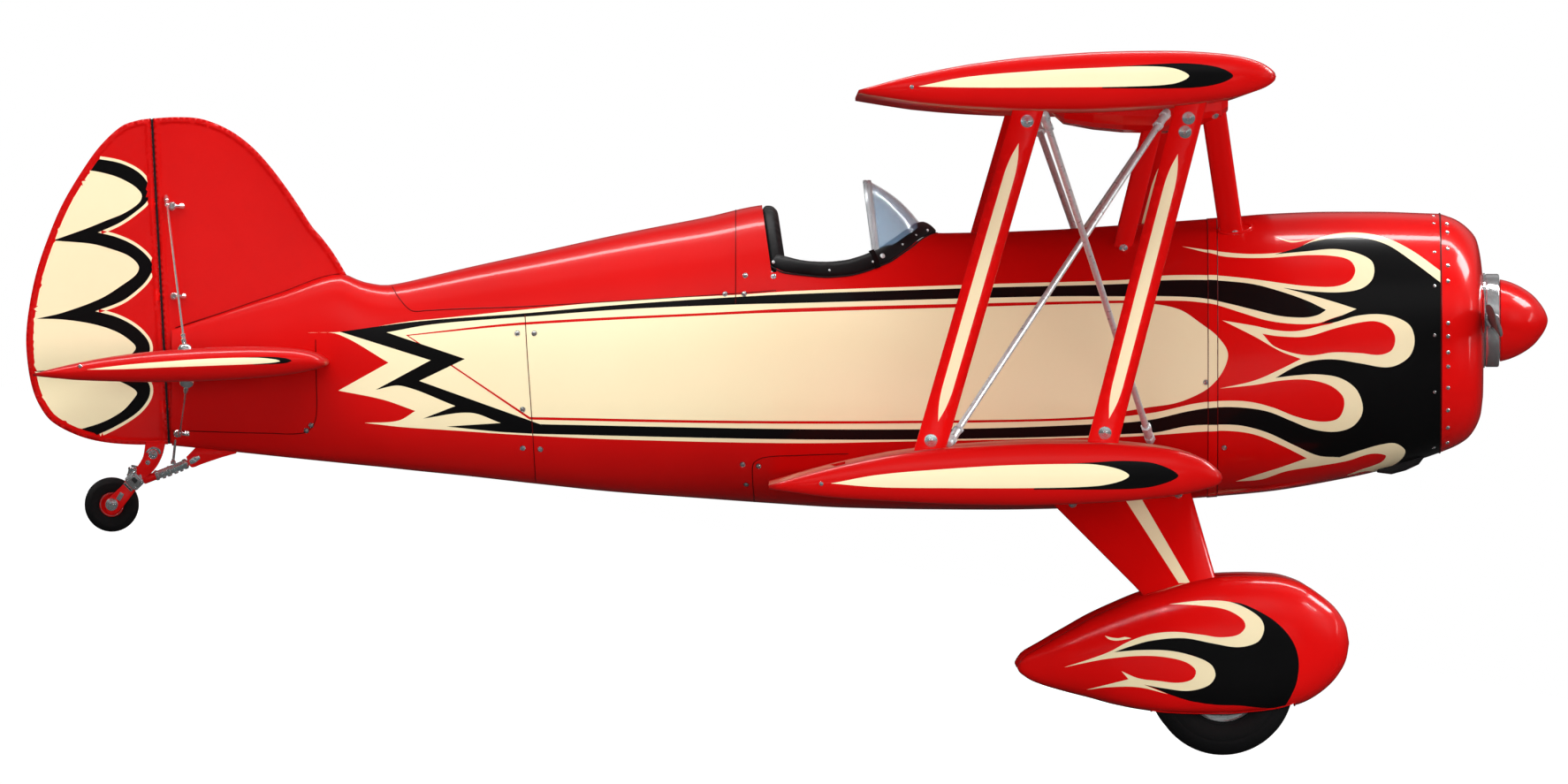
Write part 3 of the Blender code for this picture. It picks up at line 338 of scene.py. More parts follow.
def slope_table(xs, ys):
    """Monotone cubic through a table, so that sections run smoothly between stations."""
    xs = np.asarray(xs, float)
    ys = np.asarray(ys, float)
    step = np.diff(xs)
    rate = np.diff(ys) / step
    slope = np.zeros_like(ys)
    slope[0], slope[-1] = rate[0], rate[-1]
    for i in range(1, len(xs) - 1):
        if rate[i - 1] * rate[i] > 0:
            w1, w2 = 2 * step[i] + step[i - 1], step[i] + 2 * step[i - 1]
            slope[i] = (w1 + w2) / (w1 / rate[i - 1] + w2 / rate[i])

    def value(x):
        x = np.clip(np.asarray(x, float), xs[0], xs[-1])
        i = np.clip(np.searchsorted(xs, x, side="right") - 1, 0, len(xs) - 2)
        t = (x - xs[i]) / step[i]
        return ((2 * t**3 - 3 * t**2 + 1) * ys[i] + (t**3 - 2 * t**2 + t) * step[i] * slope[i]
                + (-2 * t**3 + 3 * t**2) * ys[i + 1] + (t**3 - t**2) * step[i] * slope[i + 1])

    return value


def flowing(points, closed=True, reach=0.012):
    """A smooth curve through the points; a third value of 1 marks a sharp corner."""
    flat = [Vector(point[:2]) for point in points]
    sharp = [len(point) > 2 and point[2] for point in points]
    count = len(flat)
    made = []
    for i in range(count if closed else count - 1):
        j = (i + 1) % count
        p1, p2 = flat[i], flat[j]
        p0 = flat[i - 1] if (closed or i) and not sharp[i] else p1
        p3 = flat[(j + 1) % count] if (closed or j < count - 1) and not sharp[j] else p2
        length = (p2 - p1).length
        if length < 1e-7:
            continue
        start = (p2 - p0) * (length / max(1e-9, length + (p1 - p0).length))
        end = (p3 - p1) * (length / max(1e-9, length + (p3 - p2).length))
        steps = max(1, int(math.ceil(length / reach)))
        for step in range(steps):
            t = step / steps
            made.append(p1 * (2 * t**3 - 3 * t**2 + 1) + start * (t**3 - 2 * t**2 + t)
                        + p2 * (-2 * t**3 + 3 * t**2) + end * (t**3 - t**2))
    if not closed:
        made.append(flat[-1])
    return np.array([tuple(point) for point in made])


def inside(points, loop):
    x, y = points[:, 0:1], points[:, 1:2]
    ax, ay = loop[:, 0], loop[:, 1]
    bx, by = np.roll(ax, -1), np.roll(ay, -1)
    crosses = (ay > y) != (by > y)
    tall = np.where(by == ay, 1e-12, by - ay)
    at = ax + (y - ay) * (bx - ax) / tall
    return (crosses & (x < at)).sum(axis=1) % 2 == 1


def flat_cut(outline, grid, layers=(), holes=()):
    """Triangles that fill an outline, cut along every painted edge; each gets its layer's paint."""
    loops = [outline, *holes, *[loop for _, loop in layers]]
    points = []
    edges = []
    for loop in loops:
        first = len(points)
        points.extend(loop.tolist())
        edges.extend((first + i, first + (i + 1) % len(loop)) for i in range(len(loop)))
    points.extend(np.asarray(grid)[inside(np.asarray(grid), outline)].tolist())
    verts, _, faces = geometry.delaunay_2d_cdt([Vector(p) for p in points], edges, [], 0, 2e-5)[:3]
    verts = np.array([tuple(v) for v in verts])
    faces = np.array([face for face in faces if len(face) == 3])
    middle = verts[faces].mean(axis=1)
    keep = inside(middle, outline)
    for hole in holes:
        keep &= ~inside(middle, hole)
    faces, middle = faces[keep], middle[keep]
    slots = np.zeros(len(faces), int)
    for slot, loop in layers:
        slots[inside(middle, loop)] = slot
    used, faces = np.unique(faces, return_inverse=True)
    return verts[used], faces.reshape(-1, 3), slots


SLOPE_STEP = 0.0015


def skin(name, body, shape, cut, looks, both=True, replace=(), flip=False):
    """A painted skin: shape(u, v) gives the place of each point of a flat cut."""
    flat, faces, slots = cut
    points = shape(flat[:, 0], flat[:, 1])
    du = shape(flat[:, 0] + SLOPE_STEP, flat[:, 1]) - shape(flat[:, 0] - SLOPE_STEP, flat[:, 1])
    dv = shape(flat[:, 0], flat[:, 1] + SLOPE_STEP) - shape(flat[:, 0], flat[:, 1] - SLOPE_STEP)
    normals = np.cross(du, dv)
    normals /= np.maximum(np.linalg.norm(normals, axis=1, keepdims=True), 1e-12)
    if flip:
        normals, faces = -normals, faces[:, ::-1]
    if both:
        count = len(points)
        points = np.concatenate([points, mirrored(points)])
        normals = np.concatenate([normals, mirrored(normals)])
        faces = np.concatenate([faces, faces[:, ::-1] + count])
        slots = np.concatenate([slots, slots])
    return piece(name, points, faces.tolist(), looks, body, normals=normals, slots=slots, replace=replace)


def grid_of(us, vs):
    return [(u, v) for u in us for v in vs]


# Fuselage: stations as in the CAD, as x, top, bottom, half width
HULL = np.array((
    (0.627, 1.591, 1.155, 0.045), (0.809, 1.650, 1.137, 0.073), (1.023, 1.723, 1.114, 0.105),
    (1.274, 1.799, 1.088, 0.143), (1.333, 1.769, 1.082, 0.151), (1.426, 1.752, 1.073, 0.165),
    (1.505, 1.766, 1.064, 0.177), (1.742, 1.822, 1.040, 0.209), (1.980, 1.874, 1.013, 0.240),
    (2.297, 1.944, 0.980, 0.279), (2.614, 2.006, 0.957, 0.314), (2.894, 2.059, 0.937, 0.345),
    (3.168, 2.009, 0.921, 0.361), (3.491, 1.950, 0.915, 0.372), (3.722, 1.954, 0.914, 0.379),
    (3.960, 1.964, 0.918, 0.386), (4.290, 1.987, 0.944, 0.394), (4.551, 2.006, 0.964, 0.400),
    (4.752, 2.023, 0.983, 0.412), (4.990, 2.031, 1.023, 0.420), (5.148, 2.031, 1.056, 0.418),
    (5.336, 2.025, 1.109, 0.405), (5.392, 2.023, 1.129, 0.400), (5.448, 2.003, 1.152, 0.385),
    (5.498, 1.967, 1.185, 0.358), (5.528, 1.927, 1.228, 0.325), (5.544, 1.858, 1.271, 0.275),
    (5.552, 1.790, 1.330, 0.200)))
WAIST = 0.45
UPPER_POWER = 2.2
LOWER_POWER = 3.0
GIRTH = 0.45


def outside_of(xs, ys, sign):
    """A smooth curve that never falls inside the straight lines between the stations."""
    fine = np.arange(xs[0], xs[-1] + 0.004, 0.004)
    line = sign * np.interp(fine, xs, ys)
    curve = np.maximum(sign * slope_table(xs, ys)(fine), line)
    weights = np.exp(-0.5 * (np.arange(-12, 13) / 5.0)**2)
    curve = np.convolve(np.pad(curve, 12, mode="reflect", reflect_type="odd"), weights / weights.sum(), "valid")
    return slope_table(fine, sign * np.maximum(curve, line))


HULL_PARTS = [outside_of(HULL[:, 0], HULL[:, i], sign) for i, sign in ((1, 1), (2, -1), (3, 1))]


def ring_place(x, top, bottom, half, turn, grow):
    waist = bottom + WAIST * (top - bottom)
    turn = np.clip(turn, -math.pi / 2, math.pi / 2)
    upper = turn >= 0
    exponent = np.where(upper, UPPER_POWER, LOWER_POWER)
    high = np.where(upper, top - waist, waist - bottom) + grow
    c, s = np.abs(np.cos(turn)), np.abs(np.sin(turn))
    reach = (c**exponent + s**exponent) ** (-1 / exponent)
    return np.stack([x + 0 * turn, -(half + grow) * reach * c,
                     waist + np.where(upper, 1, -1) * high * reach * s], axis=-1)


def hull_shape(grow=SKIN):
    def shape(x, v):
        top, bottom, half = (part(x) for part in HULL_PARTS)
        return ring_place(x, top, bottom, half, v / GIRTH, grow)
    return shape


def hull_flat(points):
    """Points (x, z) seen from the side, as (x, v) on the hull's skin."""
    points = np.asarray(points, float)
    x, z = points[:, 0], points[:, 1]
    top, bottom = HULL_PARTS[0](x), HULL_PARTS[1](x)
    waist = bottom + WAIST * (top - bottom)
    upper = z >= waist
    exponent = np.where(upper, UPPER_POWER, LOWER_POWER)
    share = np.where(upper, (z - waist) / (top - waist), (waist - z) / (waist - bottom))
    beyond = share >= 0.9999
    share = np.clip(share, 0, 0.9999)
    turn = np.arctan2(share, (1 - share**exponent) ** (1 / exponent))
    turn = np.where(beyond, 1.66, turn) * np.where(upper, 1, -1)
    return np.stack([x, turn * GIRTH], axis=-1)


def photo_loop(pixels, closed=True, reach=0.012):
    """An outline in photograph pixels as a smooth curve in (x, z)."""
    return flowing([(*spot(*point[:2]), *point[2:]) for point in pixels], closed, reach)


# Marks a sharp corner in an outline
S = 1
FIELD = (
    (1640, 311), (1635.6, 308.8), (1602, 284.6), (1572, 269.5), (1542, 263.5), (1512, 265),
    (1487, 272.6), (1469, 281.6), (1451, 286), (1421, 287.7), (1391, 286), (1360.5, 282),
    (1339, 279, S), (1365, 285.5), (1391, 291), (1436, 292), (1481, 289), (1512, 290), (1530, 295),
    (1536, 306), (1530, 318), (1512, 324.5), (1481, 324), (1451, 320.5), (1421, 316.3), (1391, 313),
    (1376, 312), (1345, 311.5), (1315, 312.5), (1275, 317), (1130, 321.5), (1085, 323.0), (900, 329.6),
    (832, 334), (704, 340.5), (591, 351), (490, 361.5), (463, 364), (383, 376), (345, 377, S),
    (380, 379), (437.3, 411, S), (380, 442.7, S), (430, 452.7), (467.7, 465.7, S), (448.3, 476.7),
    (410, 479.3, S), (453.3, 484), (503.3, 487.3), (596.7, 493.3), (700, 498), (900, 502), (1027, 500),
    (1268, 495), (1306, 493), (1360, 489), (1391, 488), (1421, 492), (1451, 504), (1481, 519, S),
    (1451, 529.5), (1427, 537), (1400, 545.5, S), (1430, 543), (1457, 534), (1493.5, 528), (1527, 522),
    (1554, 514), (1571, 516), (1566, 523.5), (1542, 532.5), (1527, 538.6, S), (1557, 535),
    (1570, 560, S), (1640, 560, S))
RING = (
    (456.7, 379.7, S), (591, 365.2), (832, 352.8), (900, 349.2), (1078, 344.4), (1261, 340.5),
    (1309, 340.5), (1345, 341), (1376, 345), (1406, 354), (1436, 363), (1469, 367), (1493.5, 366),
    (1508, 361), (1521, 357, S), (1512, 365), (1496.5, 369), (1469, 375), (1445, 374), (1421, 369),
    (1385, 363, S), (1421, 381), (1451, 398), (1474, 406.5, S), (1451, 418), (1421, 431),
    (1382, 440, S), (1421, 436), (1451, 431), (1481, 430), (1506, 436), (1521, 448), (1523, 460),
    (1516, 474), (1496.5, 477.5), (1469, 472), (1442, 461.5), (1415, 455), (1385, 454), (1354, 457),
    (1306, 467.5), (1226, 475.5), (1033, 479.5), (820, 479.5), (598, 475.5, S))
PANEL = (
    (460, 380.5, S), (591, 368.2), (832, 355.8), (900, 353.5), (1078, 348.5), (1261, 343.5),
    (1307, 344.5), (1337, 351), (1360, 366), (1380, 382), (1391, 400), (1385, 421), (1369.5, 439),
    (1350, 450), (1330, 457), (1300, 461.5), (1226, 472.5), (1033, 476.5), (820, 476.5), (598, 472.5, S))
TONGUE = (
    (1451, 381), (1481, 381), (1512, 372), (1542, 365), (1560, 364), (1575, 371), (1581, 383),
    (1577, 396.5), (1563, 402), (1542, 400), (1512, 399), (1481, 402.5), (1445, 393), (1430, 378, S))
FLAME = (
    (1640, 326, S), (1634, 321), (1602, 296.7), (1572, 277), (1542, 269), (1512, 269.5), (1487, 274),
    (1469, 281), (1445, 288, S), (1481, 284.6), (1512, 282), (1536, 286), (1554, 295), (1557.6, 306),
    (1554, 318), (1542, 327), (1518, 331), (1487, 330), (1454, 326, S), (1481, 333), (1512, 342),
    (1537, 350, S), (1521, 357), (1508, 361.5), (1495, 367, S), (1512, 365), (1536, 358), (1560, 355.7),
    (1581, 359), (1598, 369), (1603, 386), (1598, 402.5), (1584, 413), (1569, 416), (1542, 411.6),
    (1512, 407), (1487, 408.6), (1466, 416), (1445, 428, S), (1469, 425), (1493.5, 424), (1518, 428),
    (1536, 440), (1544, 458.5), (1542, 472), (1531, 484), (1512, 489), (1487, 486), (1463, 476.6),
    (1436, 466), (1406, 461.5), (1376, 461.5), (1345, 466), (1306, 475), (1268, 479), (1100, 485.5),
    (897, 486), (610, 480.7, S), (606.7, 491.7, S), (897, 497.7), (1100, 497), (1306, 490),
    (1345, 482.6), (1376, 481), (1406, 482), (1436, 490), (1466, 504), (1493.5, 516), (1518, 518, S),
    (1542, 510), (1563, 504), (1581, 502), (1593, 510), (1590, 519), (1578, 528), (1557, 535, S),
    (1570, 560, S), (1640, 560, S))
ZIGZAG = (
    (381.7, 376, S), (485, 408.3, S), (422.7, 441.7, S), (451.7, 437.3), (513.3, 460, S),
    (476.7, 474.3, S), (530, 467.7), (565, 479.3, S), (503.3, 483.3, S), (563, 489.3),
    (606.7, 491.7, S), (610, 480.7, S), (472.3, 431.7, S), (524.3, 406.7, S), (435, 376.7, S),
    (490, 367.3), (591.7, 359), (704, 350.5), (832, 345), (900, 343.3), (1085, 338.3), (1199, 335.7),
    (1275, 335.7), (1309, 335.4), (1360, 337.5), (1391, 343.6), (1421, 351), (1451, 358), (1478, 359.6),
    (1493.5, 356.6), (1502.5, 351, S), (1481, 340.6), (1451, 330), (1421, 322), (1391, 318.5),
    (1360, 317), (1309, 318), (1275, 321.5), (1130, 325.4), (1085, 326.8), (900, 333.0), (830, 336.5),
    (704, 345), (591, 355), (470, 364.3))
SLIVER = ((1445, 268, S), (1463, 272.6), (1487, 271, S), (1463, 274.5))
HULL_LAYERS = [(slot, hull_flat(photo_loop(loop))) for slot, loop in (
    (1, FIELD), (0, RING), (1, PANEL), (0, TONGUE), (2, FLAME), (2, ZIGZAG), (1, SLIVER))]
PAINTS = (RED, CREAM, BLACK)
CLOTH_PAINTS = (RED_CLOTH, CREAM, BLACK)
# Cockpit rim behind its first corner: x, height
RIM = (
    (2.934, 1.805), (3.003, 1.793), (3.082, 1.787), (3.194, 1.802), (3.274, 1.828), (3.343, 1.869),
    (3.416, 1.911), (3.465, 1.934))


def hull_domain(x0, x1):
    half = math.pi / 2 * GIRTH
    loop = []
    for (ux, uv), (wx, wv) in (((x0, -half), (x1, -half)), ((x1, -half), (x1, half)),
                               ((x1, half), (x0, half)), ((x0, half), (x0, -half))):
        count = max(2, int(math.hypot(wx - ux, wv - uv) / 0.03))
        loop.extend((ux + (wx - ux) * i / count, uv + (wv - uv) * i / count) for i in range(count))
    return np.array(loop)


def hull_skin(name, x0, x1, looks, holes=(), grow=SKIN, replace=(), step=0.035):
    xs = np.linspace(x0, x1, max(3, int((x1 - x0) / step)))[1:-1]
    vs = np.linspace(-math.pi / 2, math.pi / 2, 41)[1:-1] * GIRTH
    cut = flat_cut(hull_domain(x0, x1), grid_of(xs, vs), HULL_LAYERS, holes)
    return skin(name, "airframe", hull_shape(grow), cut, looks, replace=replace)


MOUTH = [(2.844, 2.4), (2.844, 2.056), (2.880, 1.804), (2.8986, 1.804), (2.8986, 1.824)]
MOUTH += [(x, low + 0.004) for x, low in RIM] + [(3.481, 1.9505), (3.486, 2.4)]
MOUTH_LOOP = hull_flat(flowing([(*point, 1) for point in MOUTH], reach=0.02))
hull_skin("fuselage_skin", 0.627, 4.518, CLOTH_PAINTS, [MOUTH_LOOP], replace=("rear_fuselage", "turtle_deck"))
hull_skin("firewall_skin", 4.5183, 4.551, PAINTS, grow=SKIN + 0.002, replace=("firewall",), step=0.012)
hull_skin("cowling_skin", 4.5513, 5.389, PAINTS)

# Nose bowl: rings by distance along the profile
BOWL = HULL[HULL[:, 0] >= 5.39]
BOWL_RUN = np.concatenate([[0], np.cumsum(np.linalg.norm(np.diff(BOWL[:, :2], axis=0), axis=1))])
BOWL_PARTS = [slope_table(BOWL_RUN, BOWL[:, i]) for i in range(4)]


def bowl_shape(run, v):
    x, top, bottom, half = (part(run) for part in BOWL_PARTS)
    return ring_place(x, top, bottom, half, v / GIRTH, SKIN)


def bowl_domain():
    half = math.pi / 2 * GIRTH
    end = BOWL_RUN[-1]
    sides = [(t * end, -half) for t in np.linspace(0, 1, 16)[:-1]]
    sides += [(end, half * s) for s in np.linspace(-1, 1, 40)[:-1]]
    sides += [(t * end, half) for t in np.linspace(1, 0, 16)[:-1]]
    sides += [(0.0, half * s) for s in np.linspace(1, -1, 40)[:-1]]
    return np.array(sides)


# Cooling inlets inside the CAD's own: middle across and up, half width and half height
INLET = (0.206, 1.660, 0.060, 0.080)


def bowl_flat(y, z):
    """The place (run, v) on the bowl of a point seen from the front."""
    runs = np.linspace(0, BOWL_RUN[-1], 400)
    _, top, bottom, half = (part(runs) for part in BOWL_PARTS)
    waist = bottom + WAIST * (top - bottom)
    upper = z >= waist
    power = np.where(upper, UPPER_POWER, LOWER_POWER)
    high = np.where(upper, top - waist, bottom - waist)
    level = (abs(y) / half) ** power + ((z - waist) / high) ** power
    pick = min(len(runs) - 1, int(np.searchsorted(level, 1.0)))
    turn = math.atan2((z - waist[pick]) / abs(high[pick]), abs(y) / half[pick])
    return runs[pick], turn * GIRTH


inlet_ring = [(INLET[0] + INLET[2] * math.cos(t), INLET[1] + INLET[3] * math.sin(t))
              for t in np.linspace(0, 2 * math.pi, 49)[:-1]]
inlet_loop = np.array([bowl_flat(y, z) for y, z in inlet_ring])
bowl_cut = flat_cut(bowl_domain(), grid_of(np.linspace(0, BOWL_RUN[-1], 26)[1:-1],
                                           np.linspace(-math.pi / 2, math.pi / 2, 61)[1:-1] * GIRTH),
                    holes=[inlet_loop])
skin("nose_bowl_skin", "airframe", bowl_shape, bowl_cut, PAINTS)

inlets = Heap()
inlet_edge = bowl_shape(inlet_loop[:, 0], inlet_loop[:, 1])
inlets.both(tube(inlet_edge, 0.0045, 8, closed=True))
duct_rings = []
for back, shrink in ((0.0, 1.0), (0.02, 0.955), (0.05, 0.93), (0.10, 0.93)):
    middle = inlet_edge.mean(axis=0)
    ring = middle + (inlet_edge - middle) * shrink
    ring[:, 0] = inlet_edge[:, 0] - back if back < 0.05 else middle[0] - back
    duct_rings.append(ring)
duct_count = len(inlet_edge)
duct_faces = [(i * duct_count + k, (i + 1) * duct_count + k, (i + 1) * duct_count + (k + 1) % duct_count,
               i * duct_count + (k + 1) % duct_count) for i in range(3) for k in range(duct_count)]
inlets.both((np.concatenate(duct_rings).tolist(), duct_faces), 1)
inlets.build("inlet_lips", (RED, DARK), "airframe")
barrels = Heap()
for y in (-0.235, 0.235):
    rows = []
    for i in range(15):
        at = 1.52 + i * 0.0165
        rows.extend(((0.062, at), (0.078, at + 0.001), (0.078, at + 0.005), (0.062, at + 0.006)))
    barrels.add(lathe((5.345, y * 0.92, 0.0), (0, 0, 1), rows, 28))
    barrels.add(lathe((5.345, y * 0.92, 1.50), (0, 0, 1), ((0, 0), (0.085, 0.0), (0.085, 0.02), (0, 0.02)), 24))
    barrels.add(rod((5.385, y * 0.75, 1.80), (5.405, y * 1.12, 1.58), 0.011), 1)
barrels.build("engine_cylinders", (CASTING, STEEL), "airframe")

# Wings

SECTION = np.array((
    (0.000, 0.0000, 0.0000), (0.012, 0.0180, 0.0030), (0.045, 0.0355, 0.0105), (0.130, 0.0548, 0.0150),
    (0.270, 0.0660, 0.0167), (0.420, 0.0688, 0.0167), (0.570, 0.0640, 0.0165), (0.710, 0.0535, 0.0150),
    (0.850, 0.0350, 0.0080), (0.950, 0.0150, 0.0030), (1.000, 0.0040, 0.0000)))
HALF_THICK = slope_table(np.sqrt(SECTION[:, 0]), SECTION[:, 1])
MEAN_RISE = slope_table(SECTION[:, 0], SECTION[:, 2])
RIB_PITCH = 0.27
TAPE_RISE = 0.0009
CLOTH_SAG = 0.0022
TIP_EXTRA = 0.008
TIP_DEPTH = 0.070
SECTION_HALF = 0.0688


class Aerofoil:
    def __init__(self, nose, tail, thick, camber, span):
        self.front = np.array(nose)
        back = np.array(tail)
        self.chord = float(np.linalg.norm(back - self.front))
        self.along = (back - self.front) / self.chord
        self.up = np.array((-self.along[1], self.along[0]))
        if self.up[1] < 0:
            self.up = -self.up
        self.thick, self.camber, self.span = thick, camber, span

    def half(self, share):
        return HALF_THICK(np.sqrt(np.clip(share, 0, 1))) * self.thick * self.chord

    def place(self, share, height, lift=0.0):
        share = np.asarray(share, float)
        off = MEAN_RISE(share) * self.camber * self.chord + height * self.half(share) + lift
        return self.front + np.outer(share * self.chord, self.along) + np.outer(off, self.up)

    def end(self, share):
        wide = np.clip((np.abs(2 * share - 1) - 0.76) / 0.24, 0, 1)
        return self.span + TIP_EXTRA - 0.10 * (1 - np.sqrt(1 - wide**2))

    def depth(self, share):
        return TIP_DEPTH * (self.half(share) / (SECTION_HALF * self.thick * self.chord)) ** 0.7

    def flat(self, points):
        """Points (x, z) on the tip's side view as (share run, height turn)."""
        gap = np.asarray(points) - self.front
        share = gap @ self.along / self.chord
        inner = np.clip(share, 0.002, 0.998)
        off = gap @ self.up - MEAN_RISE(inner) * self.camber * self.chord
        height = np.clip(off / self.half(inner), -1, 1)
        return np.stack([share * self.chord, np.arcsin(height) * TIP_DEPTH], axis=-1)

    def cap(self, run, v):
        share = np.clip(run / self.chord, 0.0005, 0.9995)
        turn = np.clip(v / TIP_DEPTH, -math.pi / 2, math.pi / 2)
        side = self.place(share, np.sin(turn))
        y = self.end(share) - self.depth(share) * (1 - np.cos(turn))
        return np.stack([side[:, 0], -y, side[:, 1]], axis=-1)


def tip_cap(name, wing, layers):
    half = math.pi / 2 * TIP_DEPTH
    runs = np.linspace(0.04, 0.999, 56) ** 1.7 * wing.chord
    low, high = runs[0] * 0.5, wing.chord * 0.9995
    sides = [(x, -half) for x in np.concatenate([[low], runs[:-1]])]
    sides += [(high, half * t) for t in np.linspace(-1, 1, 15)[:-1]]
    sides += [(x, half) for x in runs[::-1]]
    sides += [(low, half * t) for t in np.linspace(1, -1, 15)[:-1]]
    painted = [(slot, wing.flat(photo_loop(loop))) for slot, loop in layers]
    cut = flat_cut(np.array(sides), grid_of(runs[1:-1], np.linspace(-half, half, 17)[1:-1]), painted)
    return skin(name, "airframe", wing.cap, cut, CLOTH_PAINTS, flip=True)


def rib_rows(y0, y1):
    """Spanwise rows: raised tapes over the ribs, cloth sagging a little between them."""
    count = max(1, round((y1 - y0) / RIB_PITCH))
    rows = []
    for i in range(count + 1):
        y = y0 + (y1 - y0) * i / count
        for off, lift in ((-0.019, 0.0), (-0.016, 1.0), (0.016, 1.0), (0.019, 0.0)):
            if y0 <= y + off <= y1:
                rows.append((y + off, lift * TAPE_RISE))
        if i < count:
            for share, sag in ((0.25, 0.7), (0.5, 1.0), (0.75, 0.7)):
                rows.append((y + (y1 - y0) / count * share, -CLOTH_SAG * sag))
    rows = [(y0, 0.0)] + sorted(rows) + [(y1, 0.0)]
    return [row for i, row in enumerate(rows) if i == 0 or row[0] > rows[i - 1][0] + 1e-4]


def outline_shares(start, end, count=26):
    turn = np.linspace(0, 1, count)
    return start + (end - start) * (turn**2 * (3 - 2 * turn) if start > 0 else turn**1.8)


def panel(heap, wing, side, y0, y1, start=0.0, end=1.0, nose=None, inner=None, outer=None):
    """One stretch of wing, closed at both ends. nose is (hinge x, z, radius) for a moving surface."""
    shares = outline_shares(start, end)
    rows = rib_rows(y0, y1)
    rings = []
    for index, (y, lift) in enumerate(rows):
        fade = np.clip((shares - 0.10) / 0.12, 0, 1) * np.clip((0.985 - shares) / 0.05, 0, 1)
        top = wing.place(shares, 1.0, lift * fade)
        low = wing.place(shares, -1.0, -lift * fade)
        loop = [top[::-1]]
        if nose:
            x, z, radius = nose
            turns = np.radians(np.linspace(76, -76, 9))
            loop.append(np.stack([x + radius * np.cos(turns), z + radius * np.sin(turns)], axis=-1))
            loop.append(low)
        else:
            loop.append(low[1:] if start == 0 else low)
        loop = np.concatenate(loop)
        ys = np.full(len(loop), y)
        run = (loop - wing.front) @ wing.along / wing.chord
        if inner is not None:
            edge = inner(loop[:, 0])
            ys = np.maximum(ys, edge + 0.0004 * index) if index else edge
        if index == len(rows) - 1 and outer is not None:
            ys = outer(np.clip(run, 0, 1))
        rings.append(np.stack([loop[:, 0], side * ys, loop[:, 1]], axis=-1))
    points, faces = loft(rings)
    heap.add((points, [face[::-1] for face in faces] if side < 0 else faces))


UPPER = Aerofoil((4.732, 2.5245), (3.201, 2.4684), 1.0, 0.3, 3.43)
LOWER = Aerofoil((4.5375, 1.0494), (2.871, 1.0164), 0.99, 1.0, 3.25)
TAILPLANE = Aerofoil((1.221, 1.4685), (0.1254, 1.4223), 0.81, 0.6, 1.14)
AILERON = (3.0955, 1.0335, 0.0535)
ELEVATOR = (0.700, 1.4560, 0.0575)
AILERON_SPAN = (1.15, 2.95)
ELEVATOR_OUT = 1.00
HINGE_GAP = 0.008


def tip_join(wing):
    return lambda share: wing.end(share) - wing.depth(share)


top_wing = Heap()
for side in (-1, 1):
    panel(top_wing, UPPER, side, 0.0, 3.27, outer=tip_join(UPPER))
top_wing.build("upper_wing_skin", CLOTH_PAINTS, "airframe", 30, ("upper_wing",))
for side, label in SIDES:
    wing = Heap()
    cove = (LOWER.front[0] - AILERON[0] - AILERON[2] - HINGE_GAP) / LOWER.chord
    panel(wing, LOWER, side, 0.30, AILERON_SPAN[0] - 0.006)
    panel(wing, LOWER, side, AILERON_SPAN[0] - 0.006, AILERON_SPAN[1] + 0.006, end=cove)
    panel(wing, LOWER, side, AILERON_SPAN[1] + 0.006, 3.09, outer=tip_join(LOWER))
    wing.build("lower_wing_skin_" + label, CLOTH_PAINTS, "airframe", 30, ("lower_wing_" + label,))
    flap = Heap()
    panel(flap, LOWER, side, *AILERON_SPAN, start=(LOWER.front[0] - AILERON[0]) / LOWER.chord, nose=AILERON)
    flap.add(rod((AILERON[0], side * 1.11, AILERON[1]), (AILERON[0], side * 2.99, AILERON[1]), 0.006), 1)
    flap.build("aileron_skin_" + label, (RED_CLOTH, STEEL), "aileron_%s_body" % label, 30,
               ("aileron_" + label,))
    tail = Heap()
    cove = (TAILPLANE.front[0] - ELEVATOR[0] - ELEVATOR[2] - HINGE_GAP) / TAILPLANE.chord
    panel(tail, TAILPLANE, side, 0.05, ELEVATOR_OUT + 0.006, end=cove)
    panel(tail, TAILPLANE, side, ELEVATOR_OUT + 0.006, 1.04, outer=tip_join(TAILPLANE))
    tail.build("stabilizer_skin_" + label, CLOTH_PAINTS, "airframe", 30, ("stabilizer_" + label,))
    flap = Heap()
    panel(flap, TAILPLANE, side, 0.12, ELEVATOR_OUT, start=(TAILPLANE.front[0] - ELEVATOR[0]) / TAILPLANE.chord,
          nose=ELEVATOR, inner=lambda x: np.interp(x, (0.10, 0.60, 0.70), (0.345, 0.085, 0.075)))
    flap.add(rod((ELEVATOR[0], side * 0.0002, ELEVATOR[1]), (ELEVATOR[0], side * 0.10, ELEVATOR[1]), 0.020), 1)
    flap.add(rod((ELEVATOR[0], side * 0.98, ELEVATOR[1]), (ELEVATOR[0], side * 1.035, ELEVATOR[1]), 0.006), 1)
    flap.build("elevator_skin_" + label, (RED_CLOTH, STEEL), "elevator", 30, ("elevator_" + label,))

